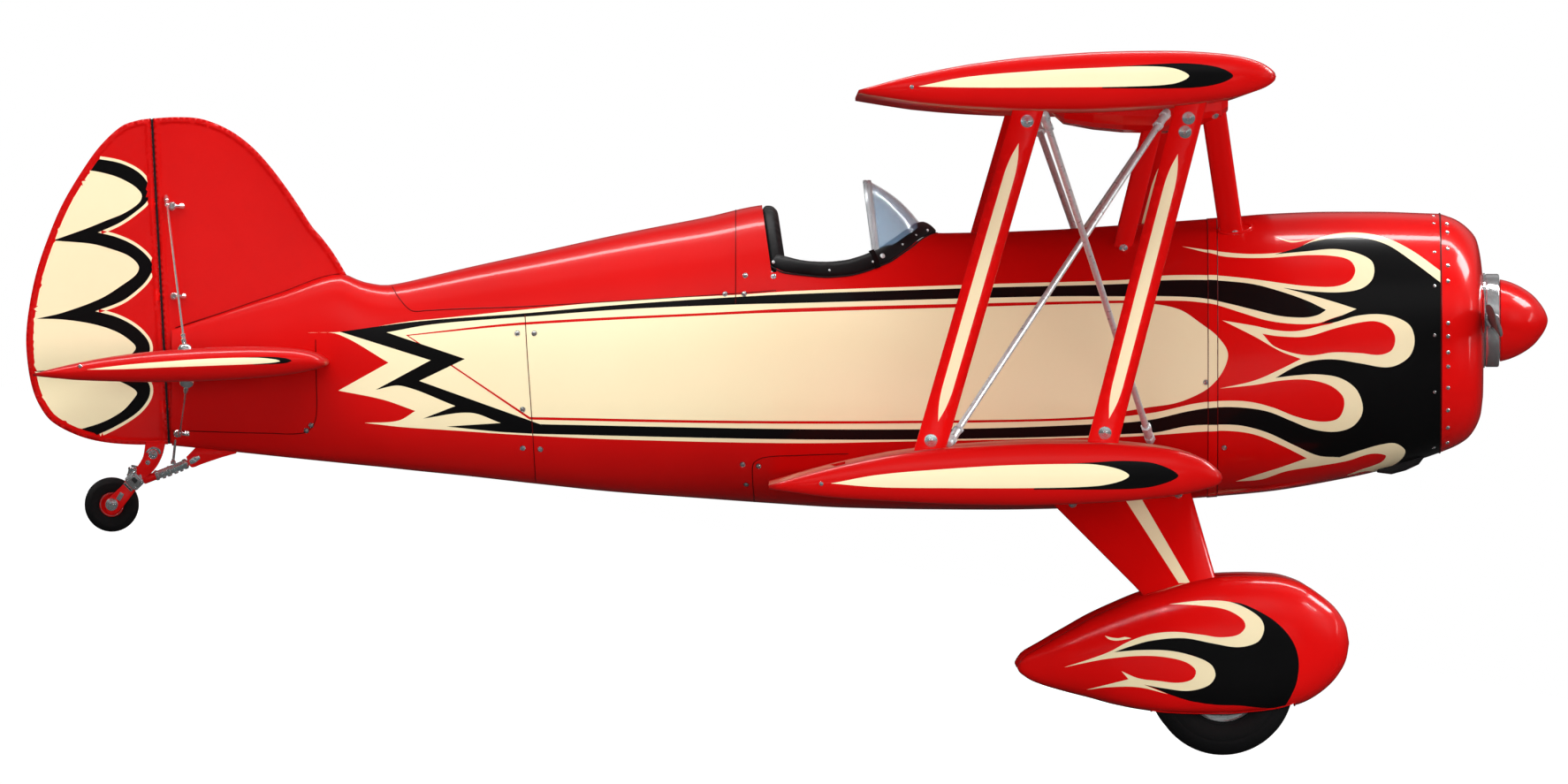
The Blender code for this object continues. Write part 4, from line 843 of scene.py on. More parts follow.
UPPER_STRIPE = (
    (2, ((1240, 103.5, S), (1338, 103), (1371, 98), (1386, 89.7), (1371, 80.5), (1338, 75.8),
         (1300, 76.5), (1255, 79.5, S))),
    (1, ((1036, 101.4, S), (1089, 91), (1172, 83.8), (1238.5, 80.5), (1288, 79), (1321, 81.5),
         (1337, 89.7), (1321, 98), (1272, 101.4), (1172, 102.5), (1089, 102.5))))
LOWER_STRIPE = (
    (2, ((1164, 549.5, S), (1268, 549), (1302, 545), (1325.6, 534), (1302, 521), (1268, 517.5),
         (1233, 519), (1190, 521.5, S))),
    (1, ((939, 542.6, S), (992, 533), (1061, 527), (1130, 522.7), (1199, 521), (1233, 521.6),
         (1260, 527), (1271, 534), (1260, 540.5), (1233, 545.7), (1164, 547.8), (1061, 547.8), (992, 546.8))))
TAIL_STRIPE = (
    (2, ((250, 405.5, S), (300, 403.5), (324, 405), (331, 408), (322, 411), (290, 412.5, S))),
    (1, ((99.5, 418, S), (140, 413), (186, 409), (240, 405.5), (290, 404.5), (313, 406.5), (318, 408.5),
         (300, 411), (240, 413.5), (186, 415.5), (140, 417.5))))
tip_cap("upper_wing_tips", UPPER, UPPER_STRIPE)
tip_cap("lower_wing_tips", LOWER, LOWER_STRIPE)
tip_cap("stabilizer_tips", TAILPLANE, TAIL_STRIPE)
tip_rivets = Heap()
for wing, pixel in ((UPPER, (1029, 102)), (LOWER, (928.5, 543)), (TAILPLANE, (92, 414.5))):
    flat = wing.flat([spot(*pixel)])
    place = wing.cap(flat[:, 0], flat[:, 1])[0]
    tip_rivets.both(dome(place, (0, -1, 0.1), 0.0085, 0.0065, 12))
tip_rivets.build("wing_tip_rivets", (CHROME,), "airframe")


# Rudder and fin: cloth over a round-edged frame
POST_LOW = np.array((0.598, 1.155))
POST_HIGH = np.array((0.533, 2.383))


def post_at(z, ahead=0.0):
    share = (z - POST_LOW[1]) / (POST_HIGH[1] - POST_LOW[1])
    return POST_LOW[0] + share * (POST_HIGH[0] - POST_LOW[0]) + ahead, z


RUDDER_OUTLINE = [(*post_at(1.158, 0.015), S), (*post_at(1.60, 0.015), S), (*post_at(2.383, 0.015), S)]
RUDDER_OUTLINE += [(0.500, 2.376), (0.438, 2.354), (0.360, 2.283), (0.296, 2.196), (0.218, 2.066),
                   (0.165, 1.944), (0.120, 1.813), (0.092, 1.683), (0.079, 1.561), (0.086, 1.452),
                   (0.104, 1.364), (0.132, 1.299), (0.175, 1.244), (0.264, 1.195), (0.360, 1.168),
                   (0.482, 1.157)]
FIN_OUTLINE = [(*post_at(1.160, 0.021), S), (*post_at(2.383, 0.021), S)]
FIN_OUTLINE += [(0.640, 2.388), (0.728, 2.383), (0.800, 2.360), (0.866, 2.325), (0.935, 2.270),
                (1.000, 2.198), (1.060, 2.118), (1.109, 2.046), (1.155, 1.975), (1.190, 1.935),
                (1.235, 1.875), (1.285, 1.792, S), (1.0, 1.60, S), (0.66, 1.40, S), (0.65, 1.160, S)]
EDGE_R = 0.0145
EDGE_IN = 0.027
CLOTH_HALF = 0.0105


def edge_distance(points, line):
    a, b = line[:-1], line[1:]
    way = b - a
    square = np.maximum((way**2).sum(axis=1), 1e-12)
    gap = points[:, None, :] - a[None, :, :]
    t = np.clip((gap * way).sum(axis=2) / square, 0, 1)
    return np.linalg.norm(gap - t[..., None] * way, axis=2).min(axis=1)


def plate_shape(line):
    def shape(x, z):
        d = edge_distance(np.stack([x, z], axis=-1), line)
        round_edge = np.sqrt(np.maximum(0, EDGE_R**2 - np.clip(EDGE_R - d, 0, EDGE_R)**2))
        blend = np.clip((d - EDGE_R) / (EDGE_IN - EDGE_R), 0, 1)
        y = np.where(d < EDGE_R, round_edge, EDGE_R + (CLOTH_HALF - EDGE_R) * blend**2 * (3 - 2 * blend))
        return np.stack([x, -y, z], axis=-1)
    return shape


def signed_area(loop):
    """Twice the area, positive where the loop runs anticlockwise."""
    return (loop[:, 0] * np.roll(loop[:, 1], -1) - loop[:, 1] * np.roll(loop[:, 0], -1)).sum()


def moved_in(loop, depth):
    before = loop - np.roll(loop, 1, axis=0)
    after = np.roll(loop, -1, axis=0) - loop
    before /= np.maximum(np.linalg.norm(before, axis=1, keepdims=True), 1e-9)
    after /= np.maximum(np.linalg.norm(after, axis=1, keepdims=True), 1e-9)
    normal = np.stack([-(before + after)[:, 1], (before + after)[:, 0]], axis=-1)
    normal /= np.maximum(np.linalg.norm(normal, axis=1, keepdims=True), 1e-9)
    return loop + normal * depth * (1 if signed_area(loop) > 0 else -1)


# Ahead of this x and below this z the fin's edge is inside the fuselage
FIN_BURIED = (0.66, 1.60)


def plate(name, body, outline, layers, replace, whole=True):
    loop = flowing(outline)
    line = np.concatenate([loop, loop[:1]])
    if not whole:
        line = line[(line[:, 1] > FIN_BURIED[1]) | (line[:, 0] < FIN_BURIED[0])]
    rings = [moved_in(loop, depth) for depth in (0.002, 0.006, EDGE_R, 0.020, EDGE_IN, 0.033)]
    low, high = loop.min(axis=0), loop.max(axis=0)
    grid = grid_of(np.arange(low[0], high[0], 0.03), np.arange(low[1], high[1], 0.03))
    rings = [ring[inside(ring, loop)] for ring in rings]
    fine = [tuple(point) for ring in rings for point in ring[::2]]
    cut = flat_cut(loop, grid + fine, layers)
    middles = cut[0][cut[1]].mean(axis=1)
    border = edge_distance(middles, line) < EDGE_IN
    cut[2][border] = 0
    return skin(name, body, plate_shape(line), cut, CLOTH_PAINTS, replace=replace)


SCALLOPS = (
    (60, 170, S), (104.5, 178.7), (131, 183.8), (151.7, 194), (164, 208.4), (165.8, 216.6), (162, 227),
    (151.7, 237), (131, 251.5), (106, 262.8, S), (128, 268.5), (148, 278), (163, 291), (168, 302),
    (163, 315), (152, 327), (133, 341), (103, 352.5, S), (127, 359), (147.6, 370), (162, 384.7),
    (165, 397), (159, 405), (142, 412), (108, 419, S), (142, 424), (159, 430), (165, 438), (164, 450),
    (155.8, 462.6), (143.5, 473), (123, 485), (104.5, 493.5), (85, 502, S), (0, 540, S), (-10, 300, S))
SCALLOP_FIELDS = (
    ((-10, 188, S), (93.3, 192), (123, 198), (143.5, 207.5), (152.7, 215), (156, 221.7), (151.7, 230),
     (135.3, 241), (114.8, 249.4), (92, 258.6), (54.3, 272, S), (-10, 272.5, S)),
    ((54.3, 272, S), (99.5, 276), (125, 283), (139, 288.5), (149, 296), (152.6, 303), (149, 311),
     (136, 321), (109, 338), (66, 354), (36, 361, S), (-10, 361, S), (-10, 272.5, S)),
    ((36, 361, S), (66, 362), (99.5, 367), (125, 375), (140, 384), (149, 394), (140, 404), (110, 412),
     (70, 418), (30, 421, S), (-10, 421, S), (-10, 361, S)),
    ((30, 421, S), (80, 424), (125, 431), (142, 438), (150.3, 445), (146, 453), (133, 466.7),
     (110.7, 479), (84, 487.5, S), (40, 520, S), (-10, 500, S), (-10, 421, S)))
scallop_loop = photo_loop(SCALLOPS)
RUDDER_LAYERS = [(1, moved_in(scallop_loop, -0.0110)), (2, scallop_loop)]
RUDDER_LAYERS += [(1, photo_loop(field)) for field in SCALLOP_FIELDS]
plate("rudder_skin", "rudder_body", RUDDER_OUTLINE, RUDDER_LAYERS, ("rudder",))
plate("fin_skin", "airframe", FIN_OUTLINE, [], ("vertical_fin",), whole=False)

hinges = Heap()
for height in (1.30, 1.72, 2.06):
    ends = []
    for half in (0.022, 0.05):
        ends.append([(post_at(z)[0], 0, z) for z in (height - half, height + half)])
    middle = post_at(height)[0]
    hinges.add(rod(*ends[0], 0.0145, 16))
    hinges.add(rod((middle, 0, height), (middle + 0.03, 0, height), 0.010))
    hinges.add(rod(*ends[1], 0.004))
hinges.build("rudder_hinge_lugs", (RED,), "airframe")
seal = Heap()
seal_points = []
for z in np.linspace(1.160, 2.380, 30):
    near, far = post_at(z, 0.0152)[0], post_at(z, 0.0230)[0]
    seal_points.extend(((near, -0.0100, z), (far, -0.0132, z), (far, 0.0132, z), (near, 0.0100, z)))
seal.add((seal_points, bands(len(seal_points) // 4, 4)))
seal.build("rudder_hinge_seal", (DARK,), "airframe")

# Struts
STRUT_KEY = 0.03


def strut_skin(name, start, end, chord, thick, stripe, replace, side):
    """Streamlined strut; stripe is (from, to, half width) along it, or None."""
    a, b = np.array(start), np.array(end)
    length = float(np.linalg.norm(b - a))
    axis = (b - a) / length
    chordwise = np.array((1.0, 0, 0)) - axis * axis[0]
    chordwise /= np.linalg.norm(chordwise)
    across = np.cross(axis, chordwise)
    if across[1] * side < 0:
        across = -across
    layers = []
    if stripe:
        first, last, wide = stripe
        rows = [(first, 0), (first + 0.06, 0.7), (first + 0.13, 1), (last - 0.13, 1), (last - 0.06, 0.7),
                (last, 0)]
        rim = [(u, w * wide) for u, w in rows] + [(u, -w * wide) for u, w in rows[-2:0:-1]]
        loop = flowing([(u, c, S if c == 0 else 0) for u, c in rim])
        around = np.arccos(np.clip(loop[:, 1] / (chord / 2), -1, 1))
        layers.append((1, np.stack([loop[:, 0], around * STRUT_KEY], axis=-1)))
    for face, sign in (("outer", 1.0), ("inner", -1.0)):
        def shape(u, v):
            turn = np.clip(v / STRUT_KEY, 0, math.pi)
            c = np.cos(turn)
            wide = np.sin(turn) * thick / 2 * (1 + 0.3 * c) * sign
            return (a + np.outer(u, axis) + np.outer(c * chord / 2, chordwise) + np.outer(wide, across))
        us = np.linspace(0, length, 24)
        vs = np.linspace(0, math.pi, 17) * STRUT_KEY
        sides = [(u, 0) for u in us[:-1]] + [(length, v) for v in vs[:-1]]
        sides += [(u, vs[-1]) for u in us[:0:-1]] + [(0, v) for v in vs[:0:-1]]
        cut = flat_cut(np.array(sides, float), grid_of(us[1:-1], vs[1:-1]), layers)
        trial = np.cross(shape(np.array([0.51]), vs[8:9]) - shape(np.array([0.5]), vs[8:9]),
                         shape(np.array([0.5]), vs[9:10]) - shape(np.array([0.5]), vs[8:9]))[0]
        skin(name + "_" + face, "airframe", shape, cut, PAINTS, both=False, replace=replace,
             flip=trial @ across * sign < 0)
        replace = ()


# Name, CAD node, upper and lower end, chord, thickness, stripe
STRUTS = (
    ("rear_strut_", "interplane_strut_rear_", (3.845, 2.45, 2.46), (3.451, 2.45, 1.10),
     0.112, 0.036, (0.185, 1.255, 0.020)),
    ("front_strut_", "interplane_strut_front_", (4.4376, 2.45, 2.46), (4.084, 2.45, 1.10),
     0.112, 0.036, (0.225, 1.235, 0.020)),
    ("rear_cabane_", "cabane_strut_rear_", (4.3115, 0.30, 2.35), (4.184, 0.20, 1.84), 0.070, 0.030, None),
    ("front_cabane_", "cabane_strut_front_", (4.540, 0.30, 2.42), (4.616, 0.17, 1.90), 0.086, 0.032, None))
for side, label in SIDES:
    for name, node, start, end, chord, thick, stripe in STRUTS:
        strut_skin(name + label, at_side(start, side), at_side(end, side), chord, thick, stripe,
                   (node + label,), side)

# Wheel pants
PANT = np.array((
    (3.8055, 0.3435, 0.3145, 0.016), (3.8247, 0.3685, 0.2985, 0.027), (3.852, 0.3850, 0.2815, 0.037),
    (3.897, 0.4105, 0.2640, 0.051), (3.9435, 0.4385, 0.2500, 0.067), (3.989, 0.4640, 0.2375, 0.081),
    (4.066, 0.508, 0.218, 0.100), (4.158, 0.551, 0.193, 0.120), (4.270, 0.597, 0.172, 0.134),
    (4.363, 0.624, 0.162, 0.140), (4.483, 0.653, 0.158, 0.142), (4.576, 0.668, 0.158, 0.142),
    (4.668, 0.670, 0.165, 0.140), (4.761, 0.667, 0.175, 0.136), (4.854, 0.644, 0.195, 0.126),
    (4.927, 0.600, 0.234, 0.106), (4.993, 0.541, 0.297, 0.072), (5.029, 0.475, 0.365, 0.030)))
PANT_POWER = 2.44
PANT_KEY = 0.25
TRACK_HALF = 0.80
PANT_ROWS = np.concatenate([[(3.7980, 0.3290, 0.3290, 0.0)], PANT, [(5.0385, 0.420, 0.420, 0.0)]])
PANT_RUN = np.concatenate([[0], np.cumsum(np.linalg.norm(np.diff(PANT_ROWS, axis=0), axis=1))])
PANT_PARTS = [slope_table(PANT_RUN, PANT_ROWS[:, i]) for i in range(4)]
PANT_GROW = 0.0025


def pant_power(x, low):
    """The sides stand squarer below the middle, where they cover the wheel."""
    fade = np.interp(x, (4.00, 4.12, 4.24, 4.36, 4.72, 4.80, 4.88, 4.96), (0, 0.15, 0.6, 1, 1, 0.7, 0.2, 0))
    return PANT_POWER + np.where(low, 3.0 * fade, 0.0)


def pant_shape(run, v, grow=PANT_GROW):
    x, top, bottom, half = (part(run) for part in PANT_PARTS)
    turn = v / PANT_KEY
    c, s = np.cos(turn), np.sin(turn)
    power = pant_power(x, s < 0)
    reach = (np.abs(c)**power + np.abs(s)**power) ** (-1 / power)
    return np.stack([x, -TRACK_HALF - (half + grow) * reach * c,
                     (top + bottom) / 2 + ((top - bottom) / 2 + grow) * reach * s], axis=-1)


def pant_inside(run, v):
    """A near-black sheet 6 mm inside the painted skin: painted shade for the inside of the pant."""
    return pant_shape(run, v, PANT_GROW - 0.006)


def pant_flat(points, inner=False):
    points = np.asarray(points)
    run = np.interp(points[:, 0], PANT_ROWS[:, 0], PANT_RUN)
    _, top, bottom, _ = (part(run) for part in PANT_PARTS)
    share = np.clip((points[:, 1] - (top + bottom) / 2) / ((top - bottom) / 2), -0.999, 0.999)
    power = pant_power(points[:, 0], share < 0)
    turn = np.arctan2(share, (1 - np.abs(share)**power) ** (1 / power))
    return np.stack([run, (math.pi - turn if inner else turn) * PANT_KEY], axis=-1)


PANT_BLACK = (
    (1386, 683, S), (1391, 681.4), (1405, 683.4), (1424, 691.7), (1443.6, 704), (1458.8, 720.7),
    (1467, 737), (1469.3, 753.8), (1466.2, 773), (1460, 787), (1453, 799.5, S), (1432.5, 800.5),
    (1402, 797.6), (1374.6, 796.6), (1347, 792.5), (1324.8, 785.6), (1308, 778.7), (1294.5, 774, S),
    (1319, 776), (1341.4, 779.5), (1358, 777.5), (1368, 771), (1372.5, 762), (1369, 753), (1359, 745.5),
    (1343, 740), (1319.3, 737), (1291.7, 736.5), (1275, 737.2), (1260.5, 738, S), (1280.6, 729),
    (1302.7, 723.5), (1330.4, 720.5), (1358, 723), (1380, 727.5), (1402, 730.5), (1417.5, 727.5),
    (1426.5, 719), (1428.5, 709.6), (1422.5, 699.5), (1411.5, 690), (1399, 685))
PANT_CREAM = (
    (1322.6, 684, S), (1358.5, 680), (1389, 681), (1409, 688), (1426, 700), (1430, 712), (1423, 726),
    (1401, 732), (1373, 728), (1339, 722), (1302, 725), (1277, 732), (1260, 738, S), (1288, 735.5),
    (1322, 736), (1350, 742), (1370, 751.5), (1375, 764), (1367, 775), (1344.5, 781), (1316, 778),
    (1294, 774, S), (1321, 784.6, S), (1288, 777), (1255, 777), (1229, 780, S), (1277, 768, S),
    (1269, 759, S), (1288, 767), (1311, 770), (1333, 772), (1349, 768), (1353, 758.5), (1342, 749),
    (1316, 743), (1288, 742), (1255, 745), (1232, 749), (1204, 755, S), (1232, 746), (1255, 737.5),
    (1277, 726), (1300, 718), (1328, 715), (1358.5, 718), (1381, 721), (1401, 718), (1409, 709),
    (1405, 700), (1387, 690), (1358.5, 685.6))
PANT_SLIVER = ((1250, 719.4, S), (1258, 721.6), (1266, 722.2), (1273, 720.8), (1280, 722.3, S),
               (1271, 724), (1262, 725), (1254, 723.2))


def edge_walk(corners):
    made = []
    for (ax, ay), (bx, by) in zip(corners, corners[1:] + corners[:1]):
        count = max(1, int(math.hypot(bx - ax, by - ay) / 0.02))
        made.extend((ax + (bx - ax) * i / count, ay + (by - ay) * i / count) for i in range(count))
    return np.array(made)


SLOT_HALF = 0.086
SLOT_ENDS = (4.300, 4.833)


def slot_edge():
    xs = np.linspace(*SLOT_ENDS, 26)
    run = np.interp(xs, PANT_ROWS[:, 0], PANT_RUN)
    half = PANT_PARTS[3](run) + PANT_GROW
    wide = np.clip(SLOT_HALF / half, 0, 0.98)
    power = pant_power(xs, True)
    high = (1 - wide**power) ** (1 / power)
    return run, -np.arctan2(high, wide)


slot_run, slot_turn = slot_edge()
low_edge, high_edge = -math.pi / 2 - 0.2, 3 * math.pi / 2 + 0.2
slot_near = [(run, turn * PANT_KEY) for run, turn in zip(slot_run, slot_turn)]
slot_loops = [
    np.array(slot_near + [(slot_run[-1], low_edge * PANT_KEY), (slot_run[0], low_edge * PANT_KEY)]),
    np.array([(run, (math.pi - turn) * PANT_KEY) for run, turn in zip(slot_run, slot_turn)]
             + [(slot_run[-1], high_edge * PANT_KEY), (slot_run[0], high_edge * PANT_KEY)])]
pant_layers = []
for inner in (False, True):
    for paint, loop in ((2, PANT_BLACK), (1, PANT_CREAM), (1, PANT_SLIVER)):
        pant_layers.append((paint, pant_flat(photo_loop(loop), inner)))
runs = np.linspace(0, PANT_RUN[-1], 60)
turns = np.linspace(-math.pi / 2, 3 * math.pi / 2, 73) * PANT_KEY
pant_cut = flat_cut(edge_walk([(0.002, turns[0]), (runs[-1] - 0.002, turns[0]),
                               (runs[-1] - 0.002, turns[-1]), (0.002, turns[-1])]),
                    grid_of(runs[1:-1], turns[1:-1]), pant_layers, slot_loops)
skin("wheel_pant_skins", "airframe", pant_shape, pant_cut, PAINTS,
     replace=("wheel_pant_right", "wheel_pant_left"))
# Near-black sheet inside each pant: painted shade for the pant's inside, not a real lining
shade_liner_cut = flat_cut(edge_walk([(0.45, turns[0]), (runs[-1] - 0.10, turns[0]),
                                (runs[-1] - 0.10, turns[-1]), (0.45, turns[-1])]),
                     grid_of([run for run in runs[1:-1] if 0.46 < run < runs[-1] - 0.11], turns[1:-1]), [],
                     slot_loops)
skin("wheel_pant_liners", "airframe", pant_inside, shade_liner_cut, (DARK,), flip=True)
lip_walk = [(run, turn) for run, turn in zip(slot_run, slot_turn)]
lip_walk += [(slot_run[-1], turn) for turn in np.linspace(slot_turn[-1], -math.pi / 2, 5)[1:]]
lip_walk += [(slot_run[-1], turn) for turn in np.linspace(3 * math.pi / 2, math.pi - slot_turn[-1], 5)[1:]]
lip_walk += [(run, math.pi - turn) for run, turn in list(zip(slot_run, slot_turn))[-2::-1]]
lip_walk += [(slot_run[0], turn) for turn in np.linspace(math.pi - slot_turn[0], 3 * math.pi / 2, 5)[1:]]
lip_walk += [(slot_run[0], turn) for turn in np.linspace(-math.pi / 2, slot_turn[0], 5)[1:-1]]
lip_walk = np.array(lip_walk)
lips = Heap()
lips.both(tube(pant_shape(lip_walk[:, 0], lip_walk[:, 1] * PANT_KEY), 0.0035, 8, closed=True))
lips.build("wheel_pant_lips", (RED,), "airframe")

# Main gear legs: x, y, z, chord, thickness
LEG = np.array((
    (4.147, 0.240, 1.020, 0.589, 0.060), (4.4095, 0.466, 0.610, 0.297, 0.050),
    (4.520, 0.600, 0.360, 0.130, 0.044), (4.5665, 0.628, 0.266, 0.075, 0.040),
    (4.5705, 0.634, 0.225, 0.055, 0.030)))
LEG_RUN = np.concatenate([[0], np.cumsum(np.linalg.norm(np.diff(LEG[:, :3], axis=0), axis=1))])
LEG_KEY = 0.07
LEG_GROW = 0.0008
LEG_STRIPE = ((1270, 560, S), (1289.5, 560, S), (1348, 661, S), (1335, 661, S))


def leg_shape(run, v):
    x, y, z, chord, thick = (np.interp(run, LEG_RUN, LEG[:, i]) for i in range(5))
    turn = v / LEG_KEY
    deep = np.sin(turn) * thick / 2 * (1 + 0.25 * np.cos(turn)) + np.sign(np.sin(turn)) * LEG_GROW
    return np.stack([x + np.cos(turn) * (chord / 2 + LEG_GROW), -(y + deep * 0.87), z + deep * 0.45], axis=-1)


def leg_flat(points):
    run = np.interp(-(points[:, 1] - 0.011), -LEG[:, 2], LEG_RUN)
    x, chord = (np.interp(run, LEG_RUN, LEG[:, i]) for i in (0, 3))
    turn = np.arccos(np.clip((points[:, 0] - x) / (chord / 2), -1, 1))
    return np.stack([run, turn * LEG_KEY], axis=-1)


stripe = leg_flat(photo_loop(LEG_STRIPE))
back_stripe = stripe * np.array((1.0, -1.0)) + np.array((0.0, 2 * math.pi * LEG_KEY))
runs = np.linspace(0, LEG_RUN[3], 34)
turns = np.linspace(0, 2 * math.pi, 41) * LEG_KEY
leg_cut = flat_cut(edge_walk([(0, turns[0]), (runs[-1], turns[0]), (runs[-1], turns[-1]), (0, turns[-1])]),
                   grid_of(runs[1:-1], turns[1:-1]), [(1, stripe), (1, back_stripe)])
skin("gear_leg_skins", "airframe", leg_shape, leg_cut, PAINTS, flip=True)


def slab(outline, y0, y1, edge=0.002, reach=0.008):
    """A plate over a side outline in photograph pixels, with rounded edges."""
    loop = photo_loop(outline, reach=reach)
    if signed_area(loop) < 0:
        loop = loop[::-1]
    rings = []
    for y, depth in ((y0, edge), (y0 + 0.3 * edge, 0.3 * edge), (y0 + edge, 0.0), (y1 - edge, 0.0),
                     (y1 - 0.3 * edge, 0.3 * edge), (y1, edge)):
        ring = moved_in(loop, depth) if depth else loop
        rings.append([(x, y, z) for x, z in ring])
    return loft(rings)


# Seams, screws and rivets on the fuselage


SEAM_LIFT = SKIN + 0.0004


def on_hull(points):
    flat = hull_flat(np.asarray(points, float))
    flat[:, 1] = np.clip(flat[:, 1], -math.pi / 2 * GIRTH, math.pi / 2 * GIRTH)
    return hull_shape(SEAM_LIFT)(flat[:, 0], flat[:, 1])


def hull_spot(pixel):
    """Place and outward direction on the starboard skin at a photograph point."""
    x, z = spot(*pixel)
    here, ahead, above = on_hull([(x, z), (x + 0.004, z), (x, z + 0.004)])
    normal = np.cross(ahead - here, above - here)
    return here, normal / np.linalg.norm(normal)


def hull_ring_path(x, first=-math.pi / 2):
    """Half a ring round the skin at one station, up to the top."""
    turns = np.linspace(first, math.pi / 2, 40)
    return hull_shape(SEAM_LIFT)(np.full(40, x), turns * GIRTH)


SEAM_R = 0.0017
seams = Heap()
FULL_SEAMS = (
    ((441, 325, S), (449, 338), (463, 352), (480, 352), (508, 350.5), (600, 347), (832, 332.5), (878, 329)),
    ((354, 385, S), (355, 430), (355, 470), (350, 484), (338, 491), (300, 491), (190, 488)),
    ((960, 514, S), (900, 516), (866, 518), (853, 524), (851, 535), (853, 568)),
    ((592.5, 357, S), (595, 400), (600, 470), (604.5, 546)))
for seam in FULL_SEAMS:
    seams.both(tube(on_hull(photo_loop(seam, False)), SEAM_R, 6))
seams.both(tube(hull_ring_path(832 * PIXEL, first=0.42), SEAM_R, 6))
for x, radius in ((4.5172, 0.0022), (4.5522, 0.0022), (5.3902, 0.0034)):
    seams.both(tube(hull_ring_path(x), radius, 6))
fin_foot = [(x, -0.0115, float(HULL_PARTS[0](x)) + 0.0005) for x in np.linspace(0.64, 1.27, 30)]
seams.both(tube(fin_foot, 0.0022, 6))
seams.build("fuselage_seams", (DARK_RED,), "airframe")

HULL_SCREWS = (
    (583.7, 377.7), (603, 377.7), (590, 464), (590, 507.7), (610, 509), (820, 333), (841.7, 333),
    (843, 312), (875, 313), (840, 526), (858, 528), (844, 549), (343.6, 488), (349, 482), (1387, 507),
    (1366, 433))
BOWL_SCREWS = (254, 263.5, 282, 301, 318.5, 366, 381, 399, 415, 439, 464.5, 484, 501)
COWL_SCREWS = (244.5, 253, 285.5, 324, 380, 444, 507)
BOWL_EDGE_X, COWL_EDGE_X = 1641, 1626
screws = Heap()
for pixel in HULL_SCREWS:
    here, normal = hull_spot(pixel)
    screws.both(dome(here, normal, 0.0072, 0.0035, 12))
    screws.both(lathe(here, normal, ((0.0105, -0.0004), (0.0105, 0.0006), (0.0, 0.0007)), 12), 1)
for row in BOWL_SCREWS:
    here, normal = hull_spot((BOWL_EDGE_X, row))
    screws.both(dome(here + normal * 0.001, normal, 0.0085, 0.006, 12))
for row in COWL_SCREWS:
    here, normal = hull_spot((COWL_EDGE_X, row))
    screws.both(dome(here, normal, 0.0065, 0.0035, 12))
screws.build("fuselage_screws", (CHROME, STEEL), "airframe")

# Flying and landing wires
WIRE_Y = 2.38
wires = Heap()
WIRE_ENDS = (
    ((3.8875, WIRE_Y, 2.388), (4.300, 0.405, 1.176)), ((4.3593, 0.465, 2.402), (3.538, WIRE_Y, 1.176)))


def stay(heap, start, end, radius, barrel, barrel_r):
    """A tie rod with a barrel and two lock nuts at each end."""
    a, b = Vector(start), Vector(end)
    way = (b - a).normalized()
    heap.add(tube((a, b), radius, 12))
    for foot, sign in ((a, 1), (b, -1)):
        heap.add(lathe(foot, way * sign,
                       ((0, -0.012), (barrel_r * 0.8, -0.01), (barrel_r, 0.0), (barrel_r, barrel),
                                          (radius * 1.1, barrel + 0.012), (radius, barrel + 0.02)), 12))
        heap.add(hexnut(foot + way * sign * (barrel + 0.004), way * sign, barrel_r * 1.25, 0.014))
        heap.add(hexnut(foot + way * sign * 0.012, way * sign, barrel_r * 1.3, 0.018))


for side in (-1, 1):
    for start, end in WIRE_ENDS:
        stay(wires, at_side(start, side), at_side(end, side), 0.0125, 0.085, 0.0165)
wires.build("wing_stays", (STAINLESS,), "airframe", replace=(
    "flying_wire_right", "flying_wire_left", "landing_wire_right", "landing_wire_left"))

# Bolts on struts and fairings
STRUT_BOLTS = ((1159, 139), (1051.4, 496), (1339.6, 135.5), (1335.6, 151), (1246, 487.5))
STRUT_BOLT_Y = -2.4675
# Photograph point and distance from the middle
BODY_BOLTS = (((1376, 129), 0.36), ((1273, 281), 0.232), ((1400, 265), 0.202), ((1215, 571), 0.31),
              ((1335, 560), 0.34))
bolts = Heap()
for pixel in STRUT_BOLTS:
    x, z = spot(*pixel)
    y = STRUT_BOLT_Y
    bolts.both(lathe((x, y, z), (0, -1, 0), ((0.024, -0.003), (0.024, 0.003), (0.021, 0.005), (0, 0.005)), 16))
    bolts.both(hexnut((x, y - 0.004, z), (0, -1, 0), 0.0155, 0.010))
    bolts.both(dome((x, y - 0.012, z), (0, -1, 0), 0.008, 0.006))
for pixel, y in BODY_BOLTS:
    x, z = spot(*pixel)
    bolts.both(lathe((x, -y, z), (0, -1, 0), ((0.016, -0.02), (0.016, 0.002), (0.013, 0.004), (0, 0.004)), 14))
    bolts.both(hexnut((x, -y - 0.003, z), (0, -1, 0), 0.0105, 0.007))
bolts.build("strut_bolts", (CHROME,), "airframe")
cuffs = Heap()
CUFF_X = spot(1400, 266)[0]
for side in (-1, 1):
    placed = []
    for i in range(28):
        turn = 2 * math.pi * i / 28
        x, y = CUFF_X + 0.062 * math.cos(turn), side * (0.178 + 0.03 * math.sin(turn))
        top, bottom, half = (float(part(x)) for part in HULL_PARTS)
        waist = bottom + WAIST * (top - bottom)
        share = min(0.999, abs(y) / (half + SKIN))
        high = (1 - share**UPPER_POWER) ** (1 / UPPER_POWER)
        placed.append((x, y, waist + (top - waist + SKIN) * high + 0.001))
    cuffs.add(tube(placed, 0.006, 8, closed=True))
cuffs.build("cabane_cuffs", (RED,), "airframe")

